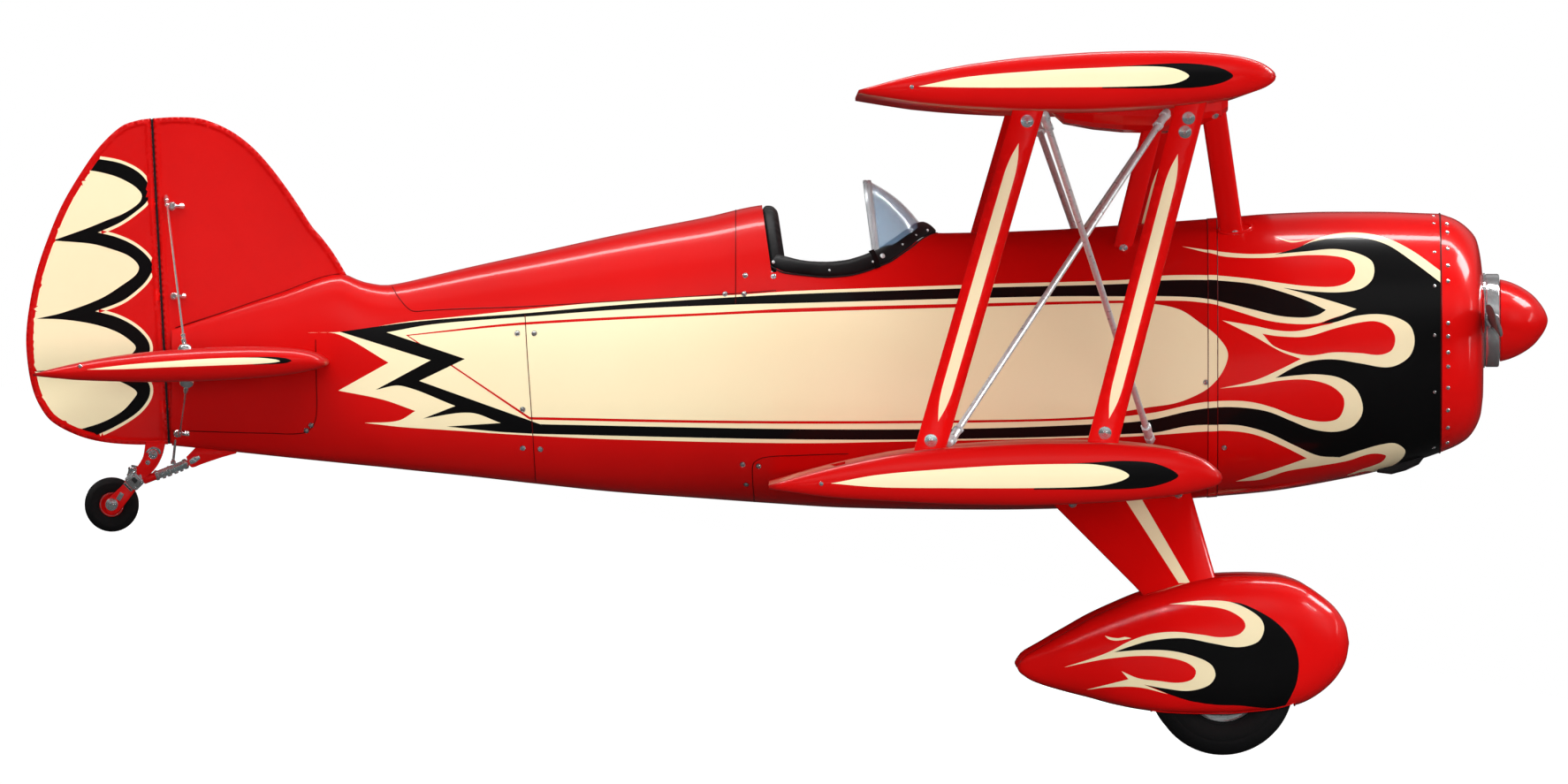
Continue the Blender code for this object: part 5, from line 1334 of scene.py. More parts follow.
# Tail braces and fittings
brace = Heap()
for side in (-1, 1):
    stay(brace, (0.606, side * 0.022, 2.086), (0.690, side * 1.03, 1.540), 0.0042, 0.05, 0.0075)
    stay(brace, (0.697, side * 1.03, 1.372), (0.657, side * 0.062, 1.192), 0.0042, 0.05, 0.0075)
for pixel, y, reach in (((194, 233), 0.012, 0.016), ((196, 335.5), 0.012, 0.014), ((200, 492), 0.05, 0.014)):
    x, z = spot(*pixel)
    brace.both(lathe((x - 0.012, -y, z), (0, -1, 0),
                     ((reach, -0.01), (reach, 0.006), (reach * 0.8, 0.009), (0, 0.009)), 14))
    brace.both(hexnut((x - 0.012, -y - 0.007, z), (0, -1, 0), reach * 0.75, 0.012))
    brace.both(rod((x - 0.012, -y - 0.006, z), (x + 0.024, -y - 0.006, z), 0.007, 10))
    brace.both(hexnut((x + 0.020, -y - 0.006, z), (1, 0, 0), 0.010, 0.014))
for pixel, way in (((210, 393), 1), ((212, 434.5), -1)):
    x, z = spot(*pixel)
    z += -0.006 * way
    brace.both(lathe((x, -1.03, z), (0, 0, way), ((0.026, -0.01), (0.026, 0.006), (0.02, 0.014),
                                                  (0.009, 0.02), (0, 0.021)), 16))
brace.both(rod((0.6425, -0.030, 1.195), (0.633, -0.026, 1.105), 0.0045, 8))
brace.build("tail_braces", (CHROME,), "airframe")

# Spinner and propeller
SPINNER_X = (0.0333, 0.0617, 0.0934, 0.1251, 0.1568, 0.1818, 0.2010, 0.2098, 0.2108)
SPINNER_R = (0.1541, 0.1469, 0.1343, 0.1168, 0.0931, 0.0644, 0.0343, 0.0089, 0.0)
spinner_square = slope_table(SPINNER_X, [r * r for r in SPINNER_R])
spinner_rows = [(0.120, 0.0300), (0.1525, 0.0300), (0.1541, 0.0316)]
spinner_rows += [(math.sqrt(max(0.0, float(spinner_square(x)))), x)
                 for x in 0.0333 + 0.1775 * (1 - (1 - np.linspace(0, 1, 36))**1.7)]
cone = Heap()
cone.add(lathe(PROP_CENTRE, (1, 0, 0), spinner_rows, 72))
cone.build("spinner_skin", (RED,), "propeller_group", 32, ("spinner",))

BLADE = np.array((
    (0.150, 0.052, 0.044, 40), (0.240, 0.072, 0.036, 34), (0.420, 0.132, 0.026, 27),
    (0.650, 0.128, 0.018, 20), (0.860, 0.104, 0.012, 16), (0.945, 0.070, 0.008, 14), (0.965, 0.030, 0.005, 13)))
BLADE_PARTS = [slope_table(BLADE[:, 0], BLADE[:, i]) for i in (1, 2, 3)]
hub = Heap()
hub.add(lathe(PROP_CENTRE, (1, 0, 0), (
    (0.0, 0.0140), (0.150, 0.0140), (0.160, 0.0240), (0.1690, 0.0270), (0.1732, 0.0250),
    (0.1750, 0.0205), (0.1750, -0.0190), (0.1738, -0.0235), (0.1700, -0.0258), (0.160, -0.0258),
    (0.034, -0.0258), (0.034, -0.28), (0.0, -0.28)), 80))
for i in range(6):
    turn = 2 * math.pi * (i + 0.5) / 6
    place = PROP_CENTRE + Vector((0.0140, 0.166 * math.cos(turn), 0.166 * math.sin(turn)))
    hub.add(dome(place, (1, 0, 0), 0.006, 0.004, 10))
for side in (-1, 1):
    rings = []
    for radius in 0.150 + 0.815 * (1 - (1 - np.linspace(0, 1, 34))**1.5):
        chord, thick, pitch = (float(part(radius)) for part in BLADE_PARTS)
        lean = math.radians(pitch)
        ring = []
        for k in range(28):
            turn = 2 * math.pi * k / 28
            flat = math.cos(turn) * chord / 2
            bow = 1.0 if math.sin(turn) > 0 else 0.75
            deep = math.sin(turn) * thick / 2 * (1 + 0.35 * math.cos(turn)) * bow
            ring.append((PROP_CENTRE.x + deep * math.cos(lean) + flat * math.sin(lean), side * radius,
                         PROP_CENTRE.z + side * (flat * math.cos(lean) - deep * math.sin(lean))))
        rings.append(ring)
    shape = loft(rings)
    hub.add((shape[0], [face[::-1] for face in shape[1]]) if side < 0 else shape, 2)
    hub.add(lathe((PROP_CENTRE.x, side * 0.168, PROP_CENTRE.z), (0, side, 0),
                  ((0.030, -0.01), (0.0295, 0.006), (0.026, 0.012), (0.0, 0.0125)), 24), 1)
hub.build("propeller_assembly", (CHROME, STEEL, SATIN), "propeller_group", 32, ("propeller",))

# Wheels: tyres, rims, brake discs
WHEEL = (4.5665, 0.266)
TYRE_ROWS = ((0.1400, 0.058), (0.1460, 0.0645), (0.150, 0.0655), (0.1535, 0.0645), (0.172, 0.0720),
             (0.190, 0.0745), (0.2120, 0.0745), (0.2140, 0.0732), (0.2165, 0.0738), (0.232, 0.0700),
             (0.246, 0.0610), (0.2555, 0.0500), (0.2605, 0.0385), (0.2610, 0.0360), (0.2575, 0.0350),
             (0.2575, 0.0310), (0.2622, 0.0300), (0.2638, 0.0160), (0.2600, 0.0150), (0.2600, 0.0110),
             (0.2642, 0.0100), (0.2648, 0.0))
RIM_ROWS = ((0.0210, 0.050), (0.034, 0.050), (0.036, 0.046), (0.040, 0.030), (0.052, 0.027),
            (0.070, 0.026), (0.108, 0.032), (0.120, 0.044), (0.1275, 0.058), (0.1330, 0.0622),
            (0.1385, 0.0622), (0.1405, 0.058), (0.1392, 0.050))


def both_ways(rows):
    """A half profile and its mirror image across the wheel's middle."""
    return list(rows) + [(r, -h) for r, h in reversed(rows) if h > 1e-6]


def wheel_ring(centre, radius, y, thick, steps, sides):
    """A thin round bead on a wheel."""
    turns = np.linspace(0, 2 * math.pi, steps + 1)[:-1]
    path = [centre + Vector((radius * math.cos(t), y, radius * math.sin(t))) for t in turns]
    return tube(path, thick, sides, closed=True)


for side, label in SIDES:
    centre = Vector((WHEEL[0], side * TRACK_HALF, WHEEL[1]))
    tyre = Heap()
    tyre.add(lathe(centre, (0, 1, 0), both_ways(TYRE_ROWS), 96))
    tyre.build("main_tyre_skin_" + label, (RUBBER,), "main_wheel_" + label, 38, ("main_tyre_" + label,))
    rim = Heap()
    rim.add(lathe(centre, (0, 1, 0), both_ways(RIM_ROWS), 64))
    for i in range(8):
        turn = 2 * math.pi * i / 8
        for face in (-1, 1):
            place = centre + Vector((0.088 * math.cos(turn), face * 0.0285, 0.088 * math.sin(turn)))
            rim.add(hexnut(place, (0, face, 0), 0.008, 0.008), 1)
            rim.add(rod(place, place + Vector((0, face * 0.012, 0)), 0.004, 8), 1)
    rim.add(lathe(centre, (0, -side, 0), ((0.035, 0.044), (0.098, 0.044), (0.098, 0.050), (0.035, 0.050)), 48),
            1)
    rim.add(lathe(centre + Vector((0.118, side * 0.045, 0.0)), (0, side, 0),
                  ((0.0045, 0.0), (0.0045, 0.014), (0.003, 0.020), (0.0, 0.021)), 10), 2)
    for face in (-1, 1):
        rim.add(wheel_ring(centre, 0.1362, face * 0.0615, 0.0036, 64, 8), 3)
    rim.build("main_rim_skin_" + label, (STAINLESS, STEEL, DARK, CHROME), "main_wheel_" + label, 32,
              ("main_rim_" + label,))

# Tail gear
TAIL_CENTRE = Vector((0.401, 0.0, 0.932))
TAIL_TYRE_ROWS = ((0.0460, 0.0175), (0.0485, 0.0200), (0.0530, 0.0222), (0.0660, 0.0243),
                  (0.0800, 0.0243), (0.0812, 0.0232), (0.0825, 0.0236), (0.0920, 0.0195),
                  (0.0985, 0.0130), (0.1015, 0.0065), (0.1024, 0.0))
TAIL_RIM_ROWS = ((0.0078, 0.0235), (0.0200, 0.0235), (0.0215, 0.0220), (0.0240, 0.0150),
                 (0.0300, 0.0130), (0.0360, 0.0150), (0.0400, 0.0182), (0.0440, 0.0186), (0.0460, 0.0170))
tail_tyre = Heap()
tail_tyre.add(lathe(TAIL_CENTRE, (0, 1, 0), both_ways(TAIL_TYRE_ROWS), 72))
tail_tyre.build("tail_tyre_skin", (RUBBER,), "tail_wheel", 38, ("tail_tyre",))
tail_rim = Heap()
tail_rim.add(lathe(TAIL_CENTRE, (0, 1, 0), both_ways(TAIL_RIM_ROWS), 48))
tail_rim.both(wheel_ring(TAIL_CENTRE, 0.0425, -0.0190, 0.0012, 40, 6), 1)
tail_rim.build("tail_rim_skin", (RED, CHROME), "tail_wheel", 32, ("tail_rim",))

SPINDLE = Vector((0.482, 0.0, 1.052))
SPINDLE_WAY = Vector((math.sin(PITCH), 0.0, math.cos(PITCH)))
FORK_PIXELS = ((113, 571), (116.5, 581), (122, 584), (130, 580), (150.5, 553.5), (153, 546),
               (139, 542.5), (135, 549), (120, 563.5))
fork = Heap()
fork.both(slab(FORK_PIXELS, -0.0450, -0.0350, 0.0025))
fork.add(slab(((138.5, 542.6, S), (153.5, 545.6, S), (152, 549.5, S), (136.5, 546.6, S)), -0.0445, 0.0445,
              0.002))
fork.both(slab(((126.5, 566, S), (131.5, 558, S), (136, 561, S), (131, 569, S)), -0.0462, -0.0440, 0.0008,
               0.004), 1)
axle_at = Vector((TAIL_CENTRE.x, -0.0450, TAIL_CENTRE.z))
fork.both(lathe(axle_at, (0, -1, 0), ((0.0235, -0.001), (0.0235, 0.0015), (0.021, 0.003), (0, 0.003)), 28), 1)
fork.both(hexnut(axle_at + Vector((0, -0.003, 0)), (0, -1, 0), 0.0175, 0.0075), 1)
fork.both(lathe(axle_at + Vector((0, -0.0105, 0)), (0, -1, 0),
                ((0.0085, -0.002), (0.0085, 0.002), (0.006, 0.0042),
                                                                 (0, 0.0045)), 16), 1)
fork.both(lathe(axle_at + Vector((0, 0.0105, 0)), (0, 1, 0), ((0.012, -0.001), (0.012, 0.010), (0.0, 0.010)),
                20), 1)
fork.add(lathe(SPINDLE, SPINDLE_WAY, ((0.010, -0.030), (0.010, 0.0195), (0.0125, 0.0200),
                                      (0.0132, 0.0210), (0.0132, 0.0260), (0.0120, 0.0275),
                                      (0.0, 0.0280)), 28), 1)
CHEEK_MIDDLE = (147.6, 545.4)


def cheek_spot(along, across):
    """A place on the fork's cheek in photograph pixels, from distances along and across the fork."""
    return (CHEEK_MIDDLE[0] + along * 0.7117 + across * 0.7025,
            CHEEK_MIDDLE[1] - along * 0.7025 + across * 0.7117)


def cheek(along0, along1, across0, across1, corner):
    """A block on the cheek with cut corners."""
    made = [cheek_spot(*corner_at) for corner_at in (
        (along0, across0), (along1, across0), (along1, across1), (along0, across1))]
    rounded = []
    for i, here in enumerate(made):
        for other in (made[i - 1], made[(i + 1) % 4]):
            length = math.hypot(other[0] - here[0], other[1] - here[1])
            t = min(0.45, corner / length)
            rounded.append((here[0] + (other[0] - here[0]) * t, here[1] + (other[1] - here[1]) * t, S))
    return rounded


# Block, outer and inner face, edge, slot
CHEEKS = (
    ((-8.2, 7.6, -9.4, 9.4, 2.6), -0.0535, -0.0445, 0.003, 1),
    ((-3.4, 4.6, -5.6, 5.0, 1.2), -0.0590, -0.0520, 0.002, 1),
    ((-2.0, 3.0, -3.6, 3.0, 0.8), -0.0600, -0.0570, 0.0008, 2),
    ((-12.0, -8.6, -6.6, 6.6, 0.8), -0.0500, -0.0440, 0.0015, 1),
    ((-11.0, -9.6, -5.4, 5.4, 0.4), -0.0512, -0.0490, 0.0005, 2))
for block, outer, inner, edge, slot in CHEEKS:
    fork.both(slab(cheek(*block), outer, inner, edge, 0.004), slot)
for along, across, size in ((-5.6, 6.6, 0.0062), (5.4, -6.8, 0.0062), (-5.6, -6.6, 0.0050), (5.4, 6.6, 0.0050)):
    x, z = spot(*cheek_spot(along, across))
    fork.both(hexnut((x, -0.0530, z), (0, -1, 0), size, 0.0050), 1)
fork.build("tail_fork_skin", (RED, CHROME, DARK), "tail_fork_body", 32, ("tail_fork",))

arm = Heap()
arm.add(slab(((160, 500, S), (183, 500, S), (180.5, 512), (177.8, 520), (172.2, 530.1), (163.5, 539.4),
              (156.5, 543.5), (149, 538.5), (148.2, 534.8), (150.4, 530.1), (156.6, 519.5), (158.6, 511)),
             -0.0180, 0.0180, 0.004))
for pixel, size in (((168.6, 515.6), 0.0135), ((162.7, 524.8), 0.0075)):
    x, z = spot(*pixel)
    arm.both(lathe((x, -0.0178, z), (0, -1, 0),
                   ((size * 1.3, -0.001), (size * 1.3, 0.0018), (size * 1.2, 0.003),
                                                 (0, 0.003)), 20), 1)
    arm.both(hexnut((x, -0.0208, z), (0, -1, 0), size, 0.007), 1)
    arm.both(dome((x, -0.0278, z), (0, -1, 0), size * 0.55, 0.004), 1)
arm.both(slab(((160.4, 513, S), (164, 508.5), (170, 506.8), (176.2, 509.5), (178, 514.5, S),
               (175.6, 515.5, S), (173.6, 511.6), (169.6, 509.6), (165, 510.8),
               (162.2, 514.2, S)), -0.0215, -0.0170, 0.0008,
              0.004), 1)
# Swivel head: chrome collar with raised bands and a clamp bolt
arm.add(lathe(SPINDLE, SPINDLE_WAY, (
    (0.0112, -0.0165), (0.0200, -0.0165), (0.0225, -0.0150), (0.0228, -0.0100), (0.0205, -0.0085),
    (0.0205, 0.0085), (0.0228, 0.0100), (0.0225, 0.0150), (0.0200, 0.0175), (0.0112, 0.0175)), 8), 1)
arm.both(hexnut(SPINDLE + Vector((0.004, -0.0200, 0.0)), (0, -1, 0), 0.0100, 0.0075), 1)
arm.both(lathe(SPINDLE + Vector((0.026, -0.012, -0.020)), (0.3, 0, -1), ((0.009, -0.012),
                                                                         (0.009, 0.008), (0.006, 0.012),
                                                                         (0, 0.012)), 14), 1)
arm.build("tail_arm_skin", (RED, CHROME), "airframe", 32, ("tail_gear_arm",))

spring = Heap()
foot, head = Vector((0.524, 0.0, 1.0235)), Vector((0.696, 0.0, 1.0915))
along = (head - foot).normalized()
SPRING_FOOT = ((0.0, -0.006), (0.0135, -0.005), (0.0150, 0.002), (0.0150, 0.040), (0.0165, 0.0405),
               (0.0165, 0.044))
SPRING_BODY = (
    (0.0150, 0.0), (0.0195, 0.001), (0.0200, 0.009), (0.0175, 0.011), (0.0158, 0.013), (0.0158, 0.052),
    (0.0180, 0.054), (0.0180, 0.058), (0.0158, 0.060), (0.0158, 0.111), (0.0175, 0.113),
    (0.0198, 0.116), (0.0195, 0.126), (0.0150, 0.130), (0.0085, 0.134), (0.0085, 0.150))
spring.add(lathe(foot, along, SPRING_FOOT, 24))
spring.add(lathe(foot + along * 0.044, along, SPRING_BODY, 28), 1)
for step, size in ((0.030, 0.0075), (0.052, 0.0095), (0.078, 0.0085), (0.100, 0.0070)):
    place = foot + along * (0.044 + step)
    under = place + Vector((along.z, 0, -along.x)) * 0.0150
    spring.add(lathe(under, (along.z, 0, -along.x),
                     ((size, -0.006), (size, 0.004), (size * 0.7, 0.0065), (0, 0.007)), 12), 1)
    spring.both(hexnut(place + Vector((0, -0.0150, 0)), (0, -1, 0), size * 0.75, 0.0045), 1)
x, z = spot(191.5, 523.5)
spring.add(lathe((x, 0, z - 0.004), (0, 0, 1), ((0.010, -0.006), (0.010, 0.004), (0.006, 0.008),
                                                (0.006, 0.014), (0, 0.015)), 14), 1)
spring.add(rod((x, 0, z), (spot(193, 514)[0], 0, spot(193, 514)[1]), 0.0035, 8), 1)
x, z = spot(216.5, 521)
spring.both(slab(((209.5, 523.2, S), (214, 519), (221, 516.8, S), (222.4, 520.4, S), (216.5, 525.2),
                  (211.5, 527, S)),
                 -0.0165, -0.0120, 0.001, 0.004), 1)
spring.both(hexnut((x, -0.0160, z), (0, -1, 0), 0.0075, 0.006), 1)
spring.build("tail_spring_skin", (RED, CHROME), "airframe", 32, ("tail_spring_strut",))
tab = Heap()
tab.add(slab(((206.3, 518.5, S), (217.5, 507, S), (266, 508, S), (263.1, 514.4, S), (245, 519.5),
              (223.1, 527), (213.4, 530.4), (209.5, 527.5)), -0.0125, 0.0125, 0.003))
tab.build("tail_bracket_skin", (RED,), "airframe", 32, ("tail_bracket",))

# Windshield
FRAME_FOOT = (3.286, 1.880)
FRAME_TOP = (3.243, 2.144)
FRAME_HALF = 0.232
GLASS, nodes, links, shader = new_look("windshield_glass")
links.new(ramp(nodes, links, noise(nodes, links, 6.0), ((0.3, (0.20, 0.39, 0.58)), (0.7, (0.25, 0.46, 0.66)))),
          shader.inputs["Base Color"])
shader.inputs["Alpha"].default_value = 0.36
shader.inputs["Roughness"].default_value = 0.10
shader.inputs["Coat Weight"].default_value = 1.0
shader.inputs["Coat Roughness"].default_value = 0.05


def arch_point(turn):
    share = math.sin(turn)
    return Vector((FRAME_FOOT[0] + (FRAME_TOP[0] - FRAME_FOOT[0]) * share, -FRAME_HALF * math.cos(turn),
                   FRAME_FOOT[1] + (FRAME_TOP[1] - FRAME_FOOT[1]) * share))


PANE_ACROSS, PANE_ALONG = 36, 12
pane = []
for i in range(PANE_ACROSS + 1):
    turn = math.pi * i / PANE_ACROSS
    back_edge = arch_point(turn) + Vector((-0.003 + 0.0135 * math.sin(turn), 0, 0))
    share = math.sin(turn) ** 0.8
    base = Vector((3.294 + 0.150 * share, -0.232 * math.cos(turn), 1.880 + 0.102 * share))
    for k in range(PANE_ALONG + 1):
        t = k / PANE_ALONG
        bulge = 0.013 * math.sin(math.pi * t) * math.sin(turn)
        pane.append(back_edge.lerp(base, t) + Vector((bulge * 0.7, bulge * 0.6 * -math.cos(turn), bulge)))
inner_spot = Vector((3.28, 0, 1.86))
count = len(pane)
pane += [point + (inner_spot - point).normalized() * 0.0035 for point in pane]
pane_faces = []
for i in range(PANE_ACROSS):
    for k in range(PANE_ALONG):
        a = i * (PANE_ALONG + 1) + k
        b = a + PANE_ALONG + 1
        pane_faces.append((a, a + 1, b + 1, b))
        pane_faces.append((b + count, b + 1 + count, a + 1 + count, a + count))
rim_loop = [i * (PANE_ALONG + 1) for i in range(PANE_ACROSS + 1)]
front_loop = [i * (PANE_ALONG + 1) + PANE_ALONG for i in range(PANE_ACROSS + 1)]
for a, b in zip(rim_loop, rim_loop[1:]):
    pane_faces.append((a, b, b + count, a + count))
for a, b in zip(front_loop, front_loop[1:]):
    pane_faces.append((b, a, a + count, b + count))
piece("windshield_pane", pane, pane_faces, (GLASS,), "airframe", sharp=60, replace=("windshield",))
# The arch is a crowned band: section rows are (share of its width, height above its middle)
BAND = ((-0.5, -0.002), (-0.5, 0.0015), (-0.47, 0.0030), (-0.30, 0.0038), (-0.08, 0.0040),
        (-0.04, 0.0026), (0.04, 0.0026), (0.08, 0.0040), (0.30, 0.0038), (0.47, 0.0030), (0.5, 0.0015),
        (0.5, -0.002), (0.44, -0.0035), (-0.44, -0.0035))
arch = Heap()
arch_rings = []
for i in range(57):
    turn = math.pi * i / 56
    share = math.sin(turn)
    middle = arch_point(turn) + Vector((-0.0145 + 0.0105 * share, 0, 0))
    out = Vector((0, -math.cos(turn) * 0.264, share * 0.232)).normalized()
    wide = 0.0265 + 0.0045 * share
    arch_rings.append([middle + Vector((u * wide, 0, 0)) + out * (h * 1.4 + 0.002) for u, h in BAND])
arch.add(loft(arch_rings))
arch.build("windshield_arch", (BRUSHED,), "airframe", 50, replace=("windshield_frame",))


# Soft leather: coaming, headrest, seat


SWELL_VOXEL = 0.005
SWELL_FRAMES = 20
SEAM_SINK = 0.0042
SEAM_WIDE = 0.0045


def swell(item, cap):
    """Lets a closed pad swell as cloth under pressure, no point moving further than about cap."""
    scene = bpy.context.scene
    bpy.context.view_layer.objects.active = item
    remesh = item.modifiers.new("remesh", "REMESH")
    remesh.mode = "VOXEL"
    remesh.voxel_size = SWELL_VOXEL
    bpy.ops.object.modifier_apply(modifier=remesh.name)
    count = len(item.data.vertices)
    rest = np.empty(count * 3)
    item.data.vertices.foreach_get("co", rest)
    cloth = item.modifiers.new("cloth", "CLOTH")
    cloth.settings.use_pressure = True
    cloth.settings.uniform_pressure_force = 4
    cloth.settings.effector_weights.gravity = 0
    cloth.point_cache.frame_start = 1
    cloth.point_cache.frame_end = SWELL_FRAMES
    for number in range(1, SWELL_FRAMES + 1):
        scene.frame_set(number)
    ready = item.evaluated_get(bpy.context.evaluated_depsgraph_get())
    moved = np.empty(count * 3)
    ready.data.vertices.foreach_get("co", moved)
    item.modifiers.remove(cloth)
    scene.frame_set(1)
    rest, moved = rest.reshape(-1, 3), moved.reshape(-1, 3)
    shift = moved - rest
    far = np.maximum(np.linalg.norm(shift, axis=1, keepdims=True), 1e-9)
    item.data.vertices.foreach_set("co", (rest + shift * (cap * np.tanh(far / cap) / far)).ravel())
    ease = item.modifiers.new("ease", "SMOOTH")
    ease.iterations = 6
    bpy.ops.object.modifier_apply(modifier=ease.name)


def pad_piece(name, shape, cap, seams=(), replace=()):
    """A padded leather piece; seams are planes (point, normal) in the level frame, sewn in after."""
    item = piece(name, *shape, (LEATHER,), "airframe", replace=replace)
    swell(item, cap)
    finer = item.modifiers.new("finer", "SUBSURF")
    finer.levels = finer.render_levels = 1
    bpy.context.view_layer.objects.active = item
    bpy.ops.object.modifier_apply(modifier=finer.name)
    mesh = item.data
    places = np.empty(len(mesh.vertices) * 3)
    normals = np.empty(len(mesh.vertices) * 3)
    mesh.vertices.foreach_get("co", places)
    mesh.vertex_normals.foreach_get("vector", normals)
    places, normals = places.reshape(-1, 3), normals.reshape(-1, 3)
    level = (places - SHIFT_ARRAY) @ TURN_ARRAY
    sunk = np.zeros(len(places))
    for point, way in seams:
        off = np.abs((level - np.array(point)) @ np.array(way))
        sunk = np.maximum(sunk, SEAM_SINK * np.exp(-(off / SEAM_WIDE)**2))
    mesh.vertices.foreach_set("co", (places - normals * sunk[:, None]).ravel())
    mesh.polygons.foreach_set("material_index", [0] * len(mesh.polygons))
    mesh.shade_smooth()


# Edge of the coaming in the photograph: lower point, upper point
COAMING = (
    ((870.5, 300.5), (876, 287.5)), ((887, 308.5), (896, 291.5)), ((910, 311.5), (913, 293.9)),
    ((934, 313.6), (934, 294.7)),
    ((960.4, 311.8), (955.3, 293)), ((975.7, 308.3), (970.6, 289.4)), ((994.1, 301.6), (987.4, 283.5)),
    ((1006.3, 296.5), (997.5, 279)), ((1021.6, 286.3), (1011.4, 270.5)), ((1031.8, 279.2), (1021, 264.2)),
    ((1042, 271), (1030.5, 257.8)), ((1050, 266.5), (1038, 252.9)), ((1056, 264.2), (1043, 251.5)))
coaming_rows = []
for low, high in COAMING:
    (lx, lz), (hx, hz) = spot(*low), spot(*high)
    top, bottom, half = (float(part(lx)) for part in HULL_PARTS)
    waist = bottom + WAIST * (top - bottom)
    y = half * (1 - min(1.0, (lz - waist) / (top - waist))**UPPER_POWER) ** (1 / UPPER_POWER)
    coaming_rows.append((lx, y, lz, hx - lx, -0.020 * min(1.0, y / 0.15), hz - lz))
(lx, lz), (hx, hz) = spot(1060.2, 263.4), spot(1047, 251.6)
coaming_rows.append((lx, 0.0, lz, hx - lx, 0.0, hz - lz))
coaming_rows += [(x, -y, z, dx, -dy, dz) for x, y, z, dx, dy, dz in coaming_rows[-2::-1]]
coaming_rows = np.array(coaming_rows)
coaming_run = np.concatenate([[0], np.cumsum(np.linalg.norm(np.diff(coaming_rows[:, :3], axis=0), axis=1))])
coaming_parts = [slope_table(coaming_run, coaming_rows[:, i]) for i in range(6)]
PAD_RING = flowing((
    (0.002, -0.02), (0.009, 0.16), (0.0115, 0.45), (0.0085, 0.78), (0.000, 0.97), (-0.012, 1.02),
    (-0.024, 0.92), (-0.034, 0.62), (-0.039, 0.25), (-0.036, -0.04), (-0.018, -0.10)), reach=0.10)


def coaming_at(run):
    """Foot, rise and outward direction of the coaming at a distance along it."""
    x, y, z, dx, dy, dz = (float(part(run)) for part in coaming_parts)
    ahead = [float(part(run + 0.004)) - float(part(run - 0.004)) for part in coaming_parts[:2]]
    out = Vector((ahead[1], -ahead[0], 0.0)).normalized()
    if out.dot(Vector((x - 3.15, y, 0.0))) < 0:
        out = -out
    return Vector((x, y, z)), Vector((dx, dy, dz)), out


coaming_rings = []
for run in np.linspace(0.0, coaming_run[-1], 150):
    foot, rise, out = coaming_at(min(max(run, 0.004), coaming_run[-1] - 0.004))
    coaming_rings.append([tuple(foot + out * float(u) + rise * float(v)) for u, v in PAD_RING])
pad_piece("coaming_pad", loft(coaming_rings), 0.005, replace=("cockpit_coaming",))
welt = Heap()
welt_runs = np.linspace(0.006, coaming_run[-1] - 0.006, 160)
welt.add(tube([coaming_at(run)[0] + coaming_at(run)[2] * 0.0035 for run in welt_runs], 0.0032, 8))
welt.build("coaming_welt", (DARK,), "airframe")
PAD_FACE = ((-0.10, 0.16, 0.45, 0.78, 1.03), (0.002, 0.010, 0.0125, 0.0095, 0.002))
straps = Heap()
strap_run = min(np.linspace(0.0, coaming_run[-1] / 2, 400), key=lambda run: abs(coaming_at(run)[0].x - 3.277))
for middle_run in (strap_run, coaming_run[-1] - strap_run):
    rings = []
    for v in np.linspace(-0.06, 1.06, 12):
        face = float(np.interp(v, *PAD_FACE))
        ring = []
        for off, rise_out in ((-1, 0.001), (-1, 0.0042), (-0.8, 0.0052), (0.8, 0.0052), (1, 0.0042),
                              (1, 0.001)):
            foot, rise, out = coaming_at(middle_run + off * 0.0115)
            ring.append(foot + rise * float(v) + out * (face + rise_out))
        rings.append(ring)
    straps.add(loft(rings))
straps.build("windshield_straps", (BLACK,), "airframe")
studs = Heap()
STUDS = ((939, 305, 1), (986.7, 295.5, 1), (998, 290, 2), (1019.9, 277.1, 0.8), (1034.4, 266.2, 0.7),
         (1046.8, 260.6, 1.1), (876, 296, 1.2))
stud_places = [(foot + rise * v, out)
               for foot, rise, out in map(coaming_at, np.linspace(0.006, coaming_run[-1] / 2, 160))
               for v in (0.3, 0.4, 0.5, 0.6, 0.7)]
for *pixel, large in STUDS:
    x, z = spot(*pixel)
    best = min(stud_places, key=lambda item: (item[0].x - x)**2 + (item[0].z - z)**2)
    way = (best[1] + Vector((0, 0, 0.25))).normalized()
    studs.both(dome(best[0] + best[1] * 0.0125, way, 0.0052 * large, 0.0040 + 0.001 * large, 16))
studs.build("coaming_studs", (STAINLESS,), "airframe")

# Headrest: a padded bulkhead that leans with the cockpit's back edge
HEADREST_LOW, HEADREST_HALF = 1.80, 0.262
top, bottom, half = (float(part(2.87)) for part in HULL_PARTS)
waist = bottom + WAIST * (top - bottom)
head_rings = []
for share, grow in ((0.0, -0.014), (0.12, -0.003), (0.30, 0.003), (0.70, 0.003), (0.88, -0.003), (1.0, -0.014)):
    ring = []
    for i in range(61):
        turn = math.pi * i / 60
        c, t = math.cos(turn), math.sin(turn)
        reach = (abs(c)**UPPER_POWER + abs(t)**UPPER_POWER) ** (-1 / UPPER_POWER)
        y, z = (half + grow) * reach * c, waist + (top - waist + grow) * reach * t
        if z < HEADREST_LOW - grow:
            y, z = math.copysign(min(abs(y), HEADREST_HALF + grow), y), HEADREST_LOW - grow
        lean = 0.0405 * (2.056 - z) / 0.27
        ring.append((2.8415 + 0.052 * share + lean, y, z))
    head_rings.append(ring)
pad_piece("headrest_cushion", loft(head_rings), 0.007,
          seams=(((0, -0.095, 0), (0, 1, 0)), ((0, 0.095, 0), (0, 1, 0))), replace=("headrest_pad",))


CUSHION_CORNER = 7
CUSHION_SWELL = 0.008


